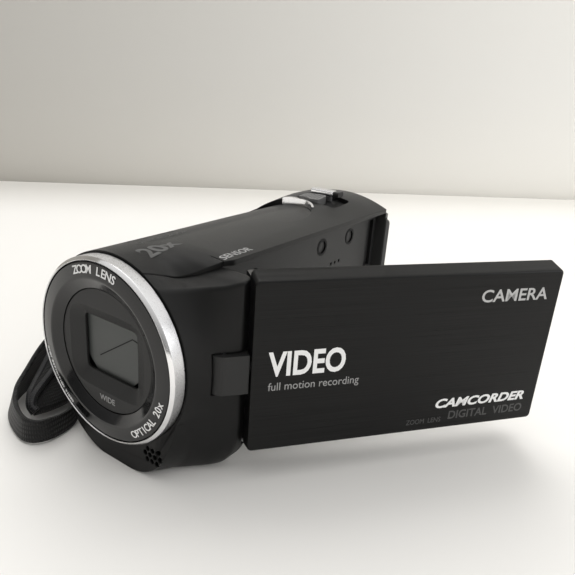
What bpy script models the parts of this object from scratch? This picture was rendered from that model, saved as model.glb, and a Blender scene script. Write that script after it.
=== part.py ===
"""Compact camcorder with a swing-out screen, built as an assembly of separate pieces.

Frame: metres, +Z up. The lens looks along -Y and the screen side faces +X. The origin is on the flat base,
below the lens axis. `depth` means the distance behind the front edge of the lens ring, `height` the
distance above the lens axis. The screen is modelled closed, in a frame whose origin is on its swing axis,
and then turned open about that axis.
"""

from math import copysign, cos, pi, radians, sin, sqrt

import bmesh
import bpy
import numpy as np

MM = 0.001

# Overall sizes
AXIS_HEIGHT = 27.5 * MM
RING_FRONT_Y = -45.0 * MM
BARREL_RADIUS = 22.5 * MM
SIDE_REACH = 28.0 * MM
SCREEN_LENGTH = 75.1 * MM
SCREEN_HEIGHT = 40.1 * MM
SCREEN_THICKNESS = 9.2 * MM
SCREEN_CENTRE_HEIGHT = 1.05 * MM
PILLAR_DEPTH = 5.4 * MM

# Fits
WALL = 1.6 * MM
GAP = 0.3 * MM
PANEL_GAP = 0.5 * MM
CUT = 5.0 * MM

# Lens end
RING_INSET = 0.5 * MM
RING_RADIUS = BARREL_RADIUS - RING_INSET
RING_BEVEL = 0.7 * MM
RING_PROUD = 0.8 * MM
RING_DEPTH = 2.8 * MM
RING_WALL = 0.9 * MM
PLATE_RADIUS = 14.6 * MM
PLATE_DEPTH = 0.5 * MM
PLATE_THICKNESS = 2.2 * MM
WINDOW_WIDTH = 23.4 * MM
WINDOW_HEIGHT = 19.4 * MM
GATE_WIDTH = 17.4 * MM
GATE_HEIGHT = 13.8 * MM
BLADE_THICKNESS = 0.5 * MM
SWITCH_TRAVEL = 5.0 * MM
TUBE_RADIUS = 13.6 * MM
TUBE_WALL = 1.8 * MM
TUBE_LENGTH = 42.0 * MM
TUBE_START = 6.8 * MM

# Screen hinge
HINGE_X = 24.6 * MM
HINGE_DEPTH = 11.5 * MM
HINGE_LEAD = 5.5 * MM
OPEN_ANGLE = radians(38.3)
BLOCK_HEIGHT = 9.2 * MM
BLOCK_SETBACK = 0.5 * MM
PIN_RADIUS = 0.9 * MM
SHAFT_RADIUS = 1.5 * MM

# Battery
BATTERY_WIDTH = 31.8 * MM
BATTERY_HEIGHT = 39.5 * MM
BATTERY_THICKNESS = 13.0 * MM
BATTERY_X = -3.8 * MM
BATTERY_CLEARANCE = 2.4 * MM

BAY_START = HINGE_DEPTH + HINGE_LEAD
BAY_END = BAY_START + SCREEN_LENGTH + PANEL_GAP
BAY_FLOOR_X = SIDE_REACH - SCREEN_THICKNESS - 2 * PANEL_GAP
BAY_TOP = SCREEN_CENTRE_HEIGHT + SCREEN_HEIGHT / 2 + 0.1 * MM
BAY_BOTTOM = SCREEN_CENTRE_HEIGHT - SCREEN_HEIGHT / 2 - 1.6 * MM
BODY_DEPTH = BAY_END + PANEL_GAP + PILLAR_DEPTH
SHELL_SEAM = BAY_START - 0.5 * MM
REAR_SEAM = BAY_END

# Body form
# One row for each cross-section of the body, in millimetres: its depth; the seam between top cover and
# front shell (x, height) and the deck edge above it; the crest height of the flare; how far the side
# has flared from the barrel's circle to its full reach; where the flat base starts and ends; and the
# heights of the top line and of the crown beside it.
SECTION_NAMES = (
    "depth", "seam_x", "seam", "deck", "crest", "flare", "foot", "heel", "top", "crown",
)
SECTIONS = (
    (3.1, 9.6, 20.30, 20.40, 18.0, 0.00, 6.0, -2.0, 22.5, 22.5),
    (4.5, 10.1, 20.00, 20.12, 17.6, 0.08, 9.0, -5.0, 22.5, 22.5),
    (7.0, 11.3, 19.30, 19.45, 17.7, 0.25, 12.5, -8.0, 22.5, 22.5),
    (9.5, 13.0, 18.60, 18.90, 18.3, 0.50, 14.8, -10.0, 22.5, 22.6),
    (12.0, 15.6, 19.20, 19.90, 19.4, 0.84, 16.6, -11.5, 22.5, 22.8),
    (14.0, 17.8, 20.20, 21.20, 20.6, 1.00, 17.3, -12.0, 22.5, 23.1),
    (17.0, 19.9, 20.95, 22.30, 20.9, 1.00, 17.3, -12.0, 22.5, 23.5),
    (19.0, 20.85, 20.95, 22.45, 20.7, 1.00, 17.3, -12.0, 22.5, 23.7),
    (50.0, 20.85, 20.95, 22.45, 20.7, 1.00, 17.3, -12.0, 22.6, 24.2),
    (63.0, 20.85, 20.95, 22.45, 20.7, 1.00, 17.3, -12.0, 23.2, 24.9),
    (73.0, 20.85, 20.95, 22.45, 20.7, 1.00, 17.3, -12.0, 24.4, 26.4),
    (84.0, 20.85, 20.95, 22.45, 20.7, 1.00, 17.3, -12.0, 25.4, 27.4),
    (92.0, 20.85, 20.95, 22.40, 20.7, 1.00, 17.3, -12.0, 25.2, 27.0),
    (95.0, 20.4, 20.40, 21.80, 20.2, 1.00, 17.3, -12.0, 24.6, 26.2),
    (98.0, 15.6, 17.40, 18.40, 16.9, 1.00, 14.0, -11.5, 23.2, 23.4),
)
LAST_NOMINAL_DEPTH = SECTIONS[-1][0] * MM
LOW_TOP = 22.6 * MM
LOW_CROWN = 24.2 * MM
LIP_REACH = 21.8 * MM
REAR_TUCK = 2.4 * MM
INNER_REACH = BAY_FLOOR_X - WALL - GAP - 0.1 * MM
CREST_RADIUS = 0.9 * MM

# Lens end
FRONT_WALL_END = 5.0 * MM
BEZEL_GAP = 0.3 * MM
BEZEL_BACK = 2.4 * MM
BLADE_ONE = PLATE_DEPTH + PLATE_THICKNESS + GAP
BLADE_TWO = BLADE_ONE + BLADE_THICKNESS + GAP
CARRIER_DEPTH = BLADE_TWO + BLADE_THICKNESS + GAP
CARRIER_THICKNESS = 1.0 * MM
BLADE_LAP = 0.4 * MM
BORE_RADIUS = RING_RADIUS - RING_WALL - BEZEL_GAP - GAP
MICROPHONE_PLACE = (0.627 * BARREL_RADIUS, -0.933 * BARREL_RADIUS)
MICROPHONE_HOLE = 0.55 * MM
MICROPHONE_PITCH = 1.55 * MM

# Screen and hinge
ARM_END = HINGE_LEAD - 0.4 * MM
OUTER_FACE = SIDE_REACH - HINGE_X
INNER_FACE = OUTER_FACE - SCREEN_THICKNESS
COVER_DEPTH = 4.4 * MM
TILT_X = OUTER_FACE - COVER_DEPTH - 0.5 * GAP
BLOCK_RADIUS = OUTER_FACE - BLOCK_SETBACK
NOTCH_CLEAR = 0.5 * MM
PIN_HOLD = 3.4 * MM
PIN_CLEAR = 0.15 * MM
SHAFT_END = HINGE_LEAD + 6.5 * MM
POCKET_START = SHAFT_END + 0.9 * MM
PANEL_WALL = 1.4 * MM
DRAFT = 1.45 * MM
GLASS_SIZE = (SCREEN_LENGTH - 14.7 * MM, SCREEN_HEIGHT - 5.7 * MM)
GLASS_MARGIN = 3.6 * MM
GLASS_THICKNESS = 1.0 * MM
SELECTOR_RADIUS = 2.0 * MM

# Screen bay
ROUND_BUTTONS = (
    ("play_button", 60.3 * MM, 16.0 * MM),
    ("light_button", 75.6 * MM, 16.2 * MM),
    ("power_button", 30.0 * MM, 15.0 * MM),
)
ROUND_BUTTON_RADIUS = 1.75 * MM
SPEAKER_PLACE = (68.3 * MM, 7.6 * MM)
SPEAKER_HOLE = 0.5 * MM
SPEAKER_PITCH = 2.2 * MM
GROOVE_DEPTH = (86.8 * MM, 90.6 * MM)
GROOVE_HEIGHT = (4.2 * MM, 19.0 * MM)
CARD_DOOR = (32.0 * MM, 50.0 * MM, -15.5 * MM, -2.5 * MM)
JACK_COVER = (54.0 * MM, 66.0 * MM, -13.5 * MM, -5.0 * MM)
DOOR_THICKNESS = 1.1 * MM

# Top controls
BUTTON_X = (0.0 * MM, 8.0 * MM)
BUTTON_DEPTH = (72.0 * MM, 77.4 * MM)
BUTTON_PROUD = 0.9 * MM
RECESS_DEPTH = 1.2 * MM
LEVER_X = (1.6 * MM, 11.2 * MM)
LEVER_DEPTH = (78.2 * MM, 81.2 * MM)
LEVER_STEM = 1.8 * MM
LEVER_TRAVEL = 1.5 * MM
LEVER_TOP = 27.7 * MM
LEVER_THICKNESS = 1.6 * MM
SCOOP_CENTRE = (-3.9 * MM, 57.3 * MM)
SCOOP_RADIUS = 16.25 * MM
TRIM_WIDTH = 0.7 * MM
TRIM_LAP = 0.15 * MM
TRIM_ANGLES = (radians(37), radians(125))
TRIM_BASE = 22.0 * MM
KEY_BOARD_TOP = 17.4 * MM
SKY = 60.0 * MM

# Rear and battery
BATTERY_TOP = -AXIS_HEIGHT + BATTERY_CLEARANCE + BATTERY_HEIGHT
START_BUTTON = (-19.0 * MM, 3.0 * MM)
START_SIZE = (3.6 * MM, 9.0 * MM)
TERMINALS = (-5.5 * MM, 5.5 * MM, -15.0 * MM, -9.0 * MM)

# Base
TRIPOD_DEPTH = 25.0 * MM
TRIPOD_BORE = 3.2 * MM
TRIPOD_NUT = 4.4 * MM
NUT_LENGTH = 6.5 * MM
LATCH_X = (-5.0 * MM, 5.0 * MM)
LATCH_DEPTH = (83.0 * MM, 88.0 * MM)
LATCH_TRAVEL = 3.0 * MM
SCREW_PLACES = ((-7.0 * MM, 70.0 * MM), (13.0 * MM, 38.0 * MM))
SCREW_RADIUS = 1.6 * MM
SCREW_SHANK = 1.0 * MM

# Grip side
SWITCH_PLACE = (9.5 * MM, 0.5 * MM)
# The belt's two edges, in millimetres: x, depth and height of the lower edge, then of the upper one.
BELT_ROUTE = (
    (-24.3, 17.2, -13.0, -24.3, 17.2, 3.0),
    (-22.6, 9.5, -22.0, -24.6, 10.0, -8.0),
    (-17.5, 3.6, -27.1, -19.0, 5.0, -22.0),
    (-15.6, -4.6, -27.1, -16.8, -4.4, -21.8),
    (-18.6, -8.8, -27.1, -19.8, -7.8, -21.4),
    (-26.0, -7.8, -27.1, -25.8, -6.6, -21.0),
    (-33.2, -4.4, -27.1, -31.2, -3.2, -19.6),
    (-38.2, 1.0, -27.1, -34.6, 2.0, -17.5),
    (-41.8, 9.5, -27.0, -37.4, 10.0, -12.5),
    (-43.0, 23.0, -25.0, -40.0, 23.0, -6.5),
    (-42.4, 45.0, -21.0, -40.4, 45.0, 0.5),
    (-38.2, 64.0, -17.0, -37.2, 64.0, 3.5),
    (-31.4, 78.0, -13.5, -31.0, 78.0, 5.0),
    (-24.6, 88.0, -12.0, -24.6, 88.0, 6.0),
)
PAD_ROUTE = (
    (-25.0, -2.6, -25.4, -29.0, -0.8, -21.0),
    (-23.8, 3.0, -25.4, -31.8, 4.2, -18.4),
    (-24.6, 10.5, -25.2, -34.4, 11.0, -13.8),
    (-28.8, 20.0, -24.2, -37.0, 21.0, -9.0),
    (-35.4, 31.0, -22.0, -37.7, 32.0, -5.0),
    (-38.6, 45.0, -19.5, -37.8, 45.0, -2.0),
    (-36.6, 57.0, -17.0, -36.0, 57.0, 0.0),
    (-34.4, 64.0, -15.5, -34.2, 64.0, 1.0),
)
BELT_STEPS = 3
BELT_THICKNESS = 1.4 * MM
PAD_THICKNESS = 3.0 * MM
LUG_SIZE = (3.0 * MM, 2.2 * MM)


def along(depth):
    return RING_FRONT_Y + depth


def above(height):
    return AXIS_HEIGHT + height


# ---------------------------------------------------------------- helpers


def clear_scene():
    for item in list(bpy.data.objects):
        bpy.data.objects.remove(item)


def material(name, colour, roughness, metallic=0.0):
    found = bpy.data.materials.get(name)
    if found:
        return found
    made = bpy.data.materials.new(name)
    made.use_nodes = True
    shader = made.node_tree.nodes["Principled BSDF"]
    shader.inputs["Base Color"].default_value = (*colour, 1.0)
    shader.inputs["Roughness"].default_value = roughness
    shader.inputs["Metallic"].default_value = metallic
    made.diffuse_color = (*colour, 1.0)
    return made


def satin_black():
    return material("satin_black", (0.03, 0.03, 0.032), 0.42)


def dark_plastic():
    return material("dark_plastic", (0.045, 0.045, 0.047), 0.55)


def gloss_black():
    return material("gloss_black", (0.01, 0.01, 0.011), 0.12)


def chrome():
    return material("bright_trim", (0.75, 0.75, 0.76), 0.15, 1.0)


def steel():
    return material("steel", (0.55, 0.55, 0.56), 0.35, 1.0)


def glass():
    return material("lens_glass", (0.05, 0.06, 0.08), 0.05)


def board_green():
    return material("circuit_board", (0.02, 0.12, 0.05), 0.6)


def webbing_black():
    return material("woven_nylon", (0.015, 0.015, 0.016), 0.9)


def make(name, mesh_builder, finish):
    """An object whose mesh comes from a filled bmesh, with its faces turned outward."""
    bmesh.ops.recalc_face_normals(mesh_builder, faces=mesh_builder.faces)
    data = bpy.data.meshes.new(name)
    mesh_builder.to_mesh(data)
    mesh_builder.free()
    if finish:
        data.materials.append(finish)
    item = bpy.data.objects.new(name, data)
    bpy.context.scene.collection.objects.link(item)
    return item


def loft(name, rings, finish=None):
    """A closed solid through rings of points that all have the same count."""
    builder = bmesh.new()
    rows = [[builder.verts.new(point) for point in ring] for ring in rings]
    for near, far in zip(rows, rows[1:]):
        for i in range(len(near)):
            j = (i + 1) % len(near)
            builder.faces.new((near[i], near[j], far[j], far[i]))
    builder.faces.new(rows[0])
    builder.faces.new(rows[-1])
    return make(name, builder, finish)


def prism(name, outline, low, high, axis="z", finish=None):
    """An outline of pairs extruded from low to high along one axis."""
    orders = {
        "x": lambda a, b, c: (c, a, b),
        "y": lambda a, b, c: (a, c, b),
        "z": lambda a, b, c: (a, b, c),
    }
    order = orders[axis]
    rings = [[order(a, b, level) for a, b in outline] for level in (low, high)]
    return loft(name, rings, finish)


def rectangle(low, high):
    return [(low[0], low[1]), (high[0], low[1]), (high[0], high[1]), (low[0], high[1])]


def rounded_rectangle(low, high, radius, steps=5):
    """Corner arcs joined by straight sides, counter-clockwise."""
    corners = [
        (high[0] - radius, high[1] - radius, 0.0),
        (low[0] + radius, high[1] - radius, 0.5 * pi),
        (low[0] + radius, low[1] + radius, pi),
        (high[0] - radius, low[1] + radius, 1.5 * pi),
    ]
    outline = []
    for centre_a, centre_b, start in corners:
        for i in range(steps + 1):
            angle = start + 0.5 * pi * i / steps
            outline.append((centre_a + radius * cos(angle), centre_b + radius * sin(angle)))
    return outline


def circle(centre, radius, count=24):
    angles = [2 * pi * i / count for i in range(count)]
    return [(centre[0] + radius * cos(a), centre[1] + radius * sin(a)) for a in angles]


def box(name, low, high, finish=None, bevel=0.0, segments=2):
    item = prism(name, rectangle(low[:2], high[:2]), low[2], high[2], "z", finish)
    if bevel:
        add_bevel(item, bevel, segments)
    return item


def add_bevel(item, width, segments=2):
    modifier = item.modifiers.new("edges", "BEVEL")
    modifier.width = width
    modifier.segments = segments
    modifier.limit_method = "ANGLE"
    modifier.angle_limit = radians(40)


def cylinder(name, centre, radius, low, high, axis="y", finish=None, count=24):
    """A cylinder along an axis; centre holds the other two coordinates in x, y, z order."""
    return prism(name, circle(centre, radius, count), low, high, axis, finish)


def turned(name, profile, finish, count=48):
    """A profile of (radius, depth) pairs turned round the lens axis. A radius of 0 closes an end."""
    builder = bmesh.new()
    touches = [radius == 0.0 for radius, _ in profile]
    rows = []
    for i in range(count):
        angle = 2 * pi * i / count
        row = []
        for k, (radius, depth) in enumerate(profile):
            if touches[k] and i > 0:
                row.append(rows[0][k])
                continue
            place = (radius * cos(angle), along(depth), above(radius * sin(angle)))
            row.append(builder.verts.new(place))
        rows.append(row)
    last = len(profile) if not any(touches) else len(profile) - 1
    for i in range(count):
        here, there = rows[i], rows[(i + 1) % count]
        for k in range(last):
            n = (k + 1) % len(profile)
            corners = [here[k], there[k], there[n], here[n]]
            unique = list(dict.fromkeys(corners))
            builder.faces.new(unique)
    item = make(name, builder, finish)
    smooth(item)
    return item


def smooth(item, angle=35):
    item.data.shade_smooth()
    item.data.set_sharp_from_angle(angle=radians(angle))


def combine(target, others, operation, solver="EXACT"):
    """Applies one Boolean for each other object, then removes those objects."""
    for other in others:
        other.hide_render = True
        other.display_type = "WIRE"
        modifier = target.modifiers.new("boolean", "BOOLEAN")
        modifier.operation = operation
        modifier.solver = solver
        modifier.object = other
    depsgraph = bpy.context.evaluated_depsgraph_get()
    result = bpy.data.meshes.new_from_object(target.evaluated_get(depsgraph))
    finish = target.data.materials[0] if target.data.materials else None
    target.modifiers.clear()
    result.materials.clear()
    if finish:
        result.materials.append(finish)
    result.polygons.foreach_set("material_index", [0] * len(result.polygons))
    target.data = result
    for other in others:
        bpy.data.objects.remove(other)
    return target


def cut(target, *cutters, solver="EXACT"):
    return combine(target, cutters, "DIFFERENCE", solver)


def join(target, *others):
    return combine(target, others, "UNION")


def keep(target, region):
    return combine(target, [region], "INTERSECT", "MANIFOLD")


def duplicate(item, name, finish=None):
    copy = item.copy()
    copy.data = item.data.copy()
    copy.name = name
    if finish:
        copy.data.materials.clear()
        copy.data.materials.append(finish)
    bpy.context.scene.collection.objects.link(copy)
    return copy


def smooth_curve(points, steps):
    """Points on a Catmull-Rom curve through the given ones."""
    path = [np.array(p, float) for p in points]
    path = [2 * path[0] - path[1]] + path + [2 * path[-1] - path[-2]]
    result = []
    for a, b, c, d in zip(path, path[1:], path[2:], path[3:]):
        for i in range(steps):
            t = i / steps
            result.append(
                0.5 * (2 * b + (c - a) * t + (2 * a - 5 * b + 4 * c - d) * t**2
                        + (3 * b - a - 3 * c + d) * t**3)
            )
    result.append(path[-2])
    return result


# ---------------------------------------------------------------- body form


def section_values(row, low=False):
    """The row in metres, stretched so that the last section lies at the body's own depth.

    The low form leaves out the hump at the rear of the top, where the controls are.
    """
    values = {name: value * MM for name, value in zip(SECTION_NAMES, row)}
    if low:
        values["top"] = min(values["top"], LOW_TOP)
        values["crown"] = min(values["crown"], LOW_CROWN)
    values["flare"] = row[SECTION_NAMES.index("flare")]
    flare_end = BAY_START + 2.0 * MM
    nominal_end = 19.0 * MM
    if values["depth"] > nominal_end:
        share = (values["depth"] - nominal_end) / (LAST_NOMINAL_DEPTH - nominal_end)
        values["depth"] = flare_end + share * (BODY_DEPTH - flare_end)
    values["side"] = SIDE_REACH if values["depth"] < BAY_START + 1.0 * MM else LIP_REACH
    values["side"] -= REAR_TUCK * max((row[0] - 92.6) / 5.9, 0.0) ** 2
    return values


def quarter(centre, reach, drop, power, start, end, steps):
    """Part of a superellipse, by its parameter angle."""
    points = []
    for i in range(steps + 1):
        angle = start + (end - start) * i / steps
        c, s = cos(angle), sin(angle)
        x = centre[0] + reach * copysign(abs(c) ** (2 / power), c)
        z = centre[1] + drop * copysign(abs(s) ** (2 / power), s)
        points.append((x, z))
    return points


def section_outline(v, inset=0.0):
    """The body's outline at one depth, as (x, height) pairs from the left side over the top."""
    radius = BARREL_RADIUS - inset
    base = -AXIS_HEIGHT + inset
    top = v["top"] - inset
    scale = BARREL_RADIUS / (22.5 * MM)
    seam_x = v["seam_x"] * scale

    def side(height):
        round_x = sqrt(max(radius**2 - height**2, 0.0))
        return round_x + (v["side"] - inset - round_x) * v["flare"]

    outline = quarter((0, 0), radius, top, 2.0, pi, 0.5 * pi, 12)
    deck = (seam_x - inset, v["deck"] - inset)
    crown = (0.5 * seam_x, v["crown"] - inset)
    for i in range(1, 7):
        t = i / 7
        x = 2 * t * (1 - t) * crown[0] + t**2 * deck[0]
        z = (1 - t) ** 2 * top + 2 * t * (1 - t) * crown[1] + t**2 * deck[1]
        outline.append((x, z))
    outline.append(deck)
    seam = (seam_x - inset + 0.02 * MM, v["seam"] - inset)
    crest = v["crest"] - inset
    crest_x = side(crest)
    outline.append(seam)
    outline.append((crest_x - CREST_RADIUS, crest + 0.15 * (seam[1] - crest)))
    outline.append((crest_x - 0.25 * CREST_RADIUS, crest - 0.25 * CREST_RADIUS))
    shoulder = crest - CREST_RADIUS
    waist = -12.0 * MM
    for i in range(7):
        height = shoulder + (waist - shoulder) * i / 7
        outline.append((side(height), height))
    foot = v["foot"]
    outline += quarter((foot, waist), side(waist) - foot, waist - base, 2.2, 0.0, -0.5 * pi, 8)
    heel = v["heel"]
    power = 2.2 - 0.05 * (heel / MM + 12.0)
    left = quarter((heel, 0), radius + heel, -base, power, -0.5 * pi, -pi, 10)
    return outline + left[:-1]


def body_form(name, inset=0.0, reach=None, low=False):
    """The outer form of the whole body, or the hollow inside it when an inset and a reach are given."""
    rings = []
    for row in SECTIONS:
        v = section_values(row, low)
        outline = section_outline(v, inset)
        depth = v["depth"]
        if reach is not None:
            outline = [(min(x, reach), z) for x, z in outline]
            depth = min(max(depth, 5.0 * MM), BODY_DEPTH - 2.6 * MM)
        ring = []
        for x, z in outline:
            forward = 0.0
            if reach is None and row is SECTIONS[0]:
                forward = chin_reach(z)
            ring.append((x, along(depth - forward), above(z)))
        rings.append(ring)
    if reach is not None:
        rings = rings[1:-1]
    return loft(name, rings)


def chin_reach(height):
    """How far the chin below the lens stands forward of the shell beside it."""
    share = min(max((-height - 12.0 * MM) / (11.0 * MM), 0.0), 1.0)
    return 2.5 * MM * share * share * (3 - 2 * share)


def top_cover_region(grow):
    """The plan area of the top cover, grown by a margin, as a solid above the seam."""
    rows = [section_values(row) for row in SECTIONS]
    scale = BARREL_RADIUS / (22.5 * MM)
    right = [(v["seam_x"] * scale + grow, v["depth"]) for v in rows if v["depth"] < SHELL_SEAM - MM]
    left_x = -13.0 * MM - grow
    end = REAR_SEAM - GAP + grow
    inner_x = INNER_REACH + grow
    outline = [(left_x, along(-CUT)), (right[0][0], along(-CUT))]
    outline += [(x, along(depth)) for x, depth in right]
    outline += [(19.5 * MM * scale + grow, along(SHELL_SEAM + grow)), (inner_x, along(SHELL_SEAM + grow))]
    outline += [(inner_x, along(end)), (left_x, along(end))]
    plan = prism("cover_plan", outline, above(10.0 * MM - grow), above(40.0 * MM))
    deck = box(
        "deck_plan",
        (inner_x - 3.0 * MM, along(SHELL_SEAM + GAP - grow), above(BAY_TOP - grow)),
        (40.0 * MM, along(end), above(40.0 * MM)),
    )
    return join(plan, deck)


def shells():
    """The six casing pieces, cut from the outer form and hollowed."""
    form = body_form("form")
    hollow = body_form("hollow", WALL, INNER_REACH, low=True)
    wide = 60.0 * MM
    middle_start = SHELL_SEAM + GAP
    middle_end = REAR_SEAM - GAP

    front = duplicate(form, "front_shell", satin_black())
    cut(front, duplicate(hollow, "hollow_front"), top_cover_region(GAP), solver="MANIFOLD")
    keep(front, box("front_zone", (-wide, along(-CUT), -wide), (wide, along(SHELL_SEAM), wide)))

    cover = duplicate(form, "top_cover", satin_black())
    keep(cover, top_cover_region(0.0))
    cut(cover, duplicate(hollow, "hollow_cover"), solver="MANIFOLD")

    grip = duplicate(form, "grip_shell", satin_black())
    cut(grip, duplicate(hollow, "hollow_grip"), top_cover_region(GAP), solver="MANIFOLD")
    keep(
        grip,
        box("grip_zone", (-wide, along(middle_start), above(BAY_BOTTOM + GAP)), (0, along(middle_end), wide))
    )

    base = duplicate(form, "base_plate", dark_plastic())
    cut(base, duplicate(hollow, "hollow_base"), solver="MANIFOLD")
    keep(
        base,
        box("base_zone", (-wide, along(middle_start), -wide), (wide, along(middle_end), above(BAY_BOTTOM)))
    )

    rear = duplicate(form, "rear_cover", satin_black())
    cut(rear, duplicate(hollow, "hollow_rear"), solver="MANIFOLD")
    keep(rear, box("rear_zone", (-wide, along(REAR_SEAM), -wide), (wide, along(BODY_DEPTH + CUT), wide)))

    bay = box(
        "bay_panel",
        (BAY_FLOOR_X - WALL, along(middle_start), above(BAY_BOTTOM + GAP)),
        (BAY_FLOOR_X, along(middle_end), above(BAY_TOP - GAP)),
        dark_plastic(),
    )
    for spare in (form, hollow):
        bpy.data.objects.remove(spare)
    return front, cover, grip, base, rear, bay


# ---------------------------------------------------------------- lens end


def lens_bores(shell):
    """The seat for the bright ring and the bore behind it."""
    seat = cylinder(
        "seat", (0, above(0)), RING_RADIUS + GAP, along(-CUT), along(RING_DEPTH + GAP - 0.05 * MM), "y",
        count=64
    )
    bore = cylinder(
        "bore", (0, above(0)), BORE_RADIUS, along(-CUT), along(FRONT_WALL_END + 2 * MM), "y", count=64
    )
    cut(shell, seat, bore, solver="MANIFOLD")


def microphone_holes(front):
    """Ten holes in rows of three, four and three."""
    x, z = MICROPHONE_PLACE
    holes = []
    for row, count in enumerate((3, 4, 3)):
        for i in range(count):
            centre = (
                x + (i - (count - 1) / 2) * MICROPHONE_PITCH,
                above(z + (row - 1) * 0.87 * MICROPHONE_PITCH),
            )
            low, high = along(-2 * MM), along(FRONT_WALL_END + MM)
            holes.append(cylinder(f"hole_{row}_{i}", centre, MICROPHONE_HOLE, low, high, "y", count=8))
    cut(front, *holes, solver="MANIFOLD")


def lens_trim():
    """Bright ring, black bezel and the window plate with its sloped opening."""
    outer, inner = RING_RADIUS, RING_RADIUS - RING_WALL
    turned(
        "lens_ring",
        [(outer, 0.0), (outer, RING_DEPTH), (inner, RING_DEPTH), (inner, -RING_PROUD + 0.25 * MM),
         (outer - RING_BEVEL, -RING_PROUD)],
        chrome(), 72,
    )
    edge = inner - BEZEL_GAP
    bowl = PLATE_RADIUS + BEZEL_GAP
    ridge = bowl + 0.42 * (edge - bowl)
    turned(
        "lens_bezel",
        [(edge, -0.4 * MM), (edge, BEZEL_BACK), (bowl, BEZEL_BACK), (bowl, PLATE_DEPTH - 0.2 * MM),
         (ridge - 0.3 * MM, -0.95 * MM), (ridge, -1.05 * MM), (edge - 0.3 * MM, -0.6 * MM)],
        gloss_black(), 72,
    )
    plate = cylinder(
        "window_plate", (0, above(0)), PLATE_RADIUS, along(PLATE_DEPTH),
        along(PLATE_DEPTH + PLATE_THICKNESS),
        "y", gloss_black(), 56,
    )
    rings = []
    for depth, width, height, radius in (
        (PLATE_DEPTH - 0.6 * MM, WINDOW_WIDTH + 0.9 * MM, WINDOW_HEIGHT + 1.2 * MM, 5.0 * MM),
        (PLATE_DEPTH + PLATE_THICKNESS + 0.6 * MM, GATE_WIDTH - 0.9 * MM, GATE_HEIGHT - 1.2 * MM, 1.5 * MM),
    ):
        outline = rounded_rectangle((-width / 2, -height / 2), (width / 2, height / 2), radius)
        rings.append([(x, along(depth), above(z)) for x, z in outline])
    cut(plate, loft("funnel", rings))
    smooth(plate, 30)


def shutter():
    """Two sliding blades in front of a carrier plate, which meet on a slanting line."""
    half = GATE_WIDTH / 2 + BLADE_LAP
    reach = GATE_HEIGHT / 2 + BLADE_LAP
    clip = 3.0 * MM
    meet = [(-half, -3.3 * MM), (-5.0 * MM, -3.3 * MM), (6.1 * MM, 4.2 * MM), (half, 3.4 * MM)]
    lap = [(x, z - 2 * BLADE_LAP) for x, z in meet]
    lower = [(-half, clip - reach), (clip - half, -reach), (half - clip, -reach), (half, clip - reach)]
    upper = [(half, reach - clip), (half - clip, reach), (clip - half, reach), (-half, reach - clip)]
    blades = (
        ("shutter_lower", lower + meet[::-1], BLADE_ONE),
        ("shutter_upper", upper + lap, BLADE_TWO),
    )
    for name, outline, depth in blades:
        points = [(x, above(z)) for x, z in outline]
        prism(name, points, along(depth), along(depth + BLADE_THICKNESS), "y", dark_plastic())
    carrier = cylinder(
        "shutter_carrier", (0, above(0)), BORE_RADIUS - GAP, along(CARRIER_DEPTH),
        along(CARRIER_DEPTH + CARRIER_THICKNESS), "y", dark_plastic(), 48,
    )
    low = (-GATE_WIDTH / 2, along(CARRIER_DEPTH - MM), above(-GATE_HEIGHT / 2))
    high = (GATE_WIDTH / 2, along(CARRIER_DEPTH + CARRIER_THICKNESS + MM), above(GATE_HEIGHT / 2))
    cut(carrier, box("gate", low, high))


def optics():
    """The lens tube, its glass groups, the image sensor and the motors that move the groups."""
    start = TUBE_START
    end = start + TUBE_LENGTH
    bore = TUBE_RADIUS - TUBE_WALL
    turned(
        "lens_barrel",
        [(TUBE_RADIUS, start), (TUBE_RADIUS, end), (bore, end), (bore, start)],
        dark_plastic(), 40,
    )
    glass_radius = bore - GAP
    groups = (
        ("front_element", start + 0.6 * MM, 4.2 * MM, 1.4 * MM),
        ("zoom_group", start + 0.32 * TUBE_LENGTH, 3.6 * MM, 0.8 * MM),
        ("focus_group", start + 0.62 * TUBE_LENGTH, 3.2 * MM, 0.7 * MM),
        ("rear_element", start + 0.86 * TUBE_LENGTH, 3.4 * MM, 0.8 * MM),
    )
    for name, depth, thickness, crown in groups:
        turned(
            name,
            [(0.0, depth), (0.5 * glass_radius, depth + 0.3 * crown), (glass_radius, depth + crown),
             (glass_radius, depth + thickness - 0.4 * crown), (0.0, depth + thickness)],
            glass(), 32,
        )
    sensor_depth = end + GAP
    box("image_sensor", (-5 * MM, along(sensor_depth), above(-4 * MM)),
        (5 * MM, along(sensor_depth + 1.5 * MM), above(4 * MM)), dark_plastic())
    board_depth = sensor_depth + 1.5 * MM + GAP
    box("sensor_board", (-12 * MM, along(board_depth), above(-11 * MM)),
        (12 * MM, along(board_depth + MM), above(11 * MM)), board_green())
    motor_height = -TUBE_RADIUS - 0.6 * MM
    motors = (("zoom_motor", -6 * MM, 14 * MM, 3.6 * MM), ("focus_motor", 6 * MM, 11 * MM, 3.2 * MM))
    for name, x, length, radius in motors:
        centre = (x, above(motor_height - radius))
        cylinder(name, centre, radius, along(end - length - 2 * MM), along(end - 2 * MM), "y", steel(), 20)


def microphone():
    x, z = MICROPHONE_PLACE
    inward = BARREL_RADIUS / (22.5 * MM)
    centre = (x - 1.6 * MM * inward, above(z + 2.2 * MM * inward))
    start = along(FRONT_WALL_END + GAP)
    cylinder("microphone", centre, 2.4 * MM, start, start + 3 * MM, "y", steel(), 16)


# ---------------------------------------------------------------- screen and hinge


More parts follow.
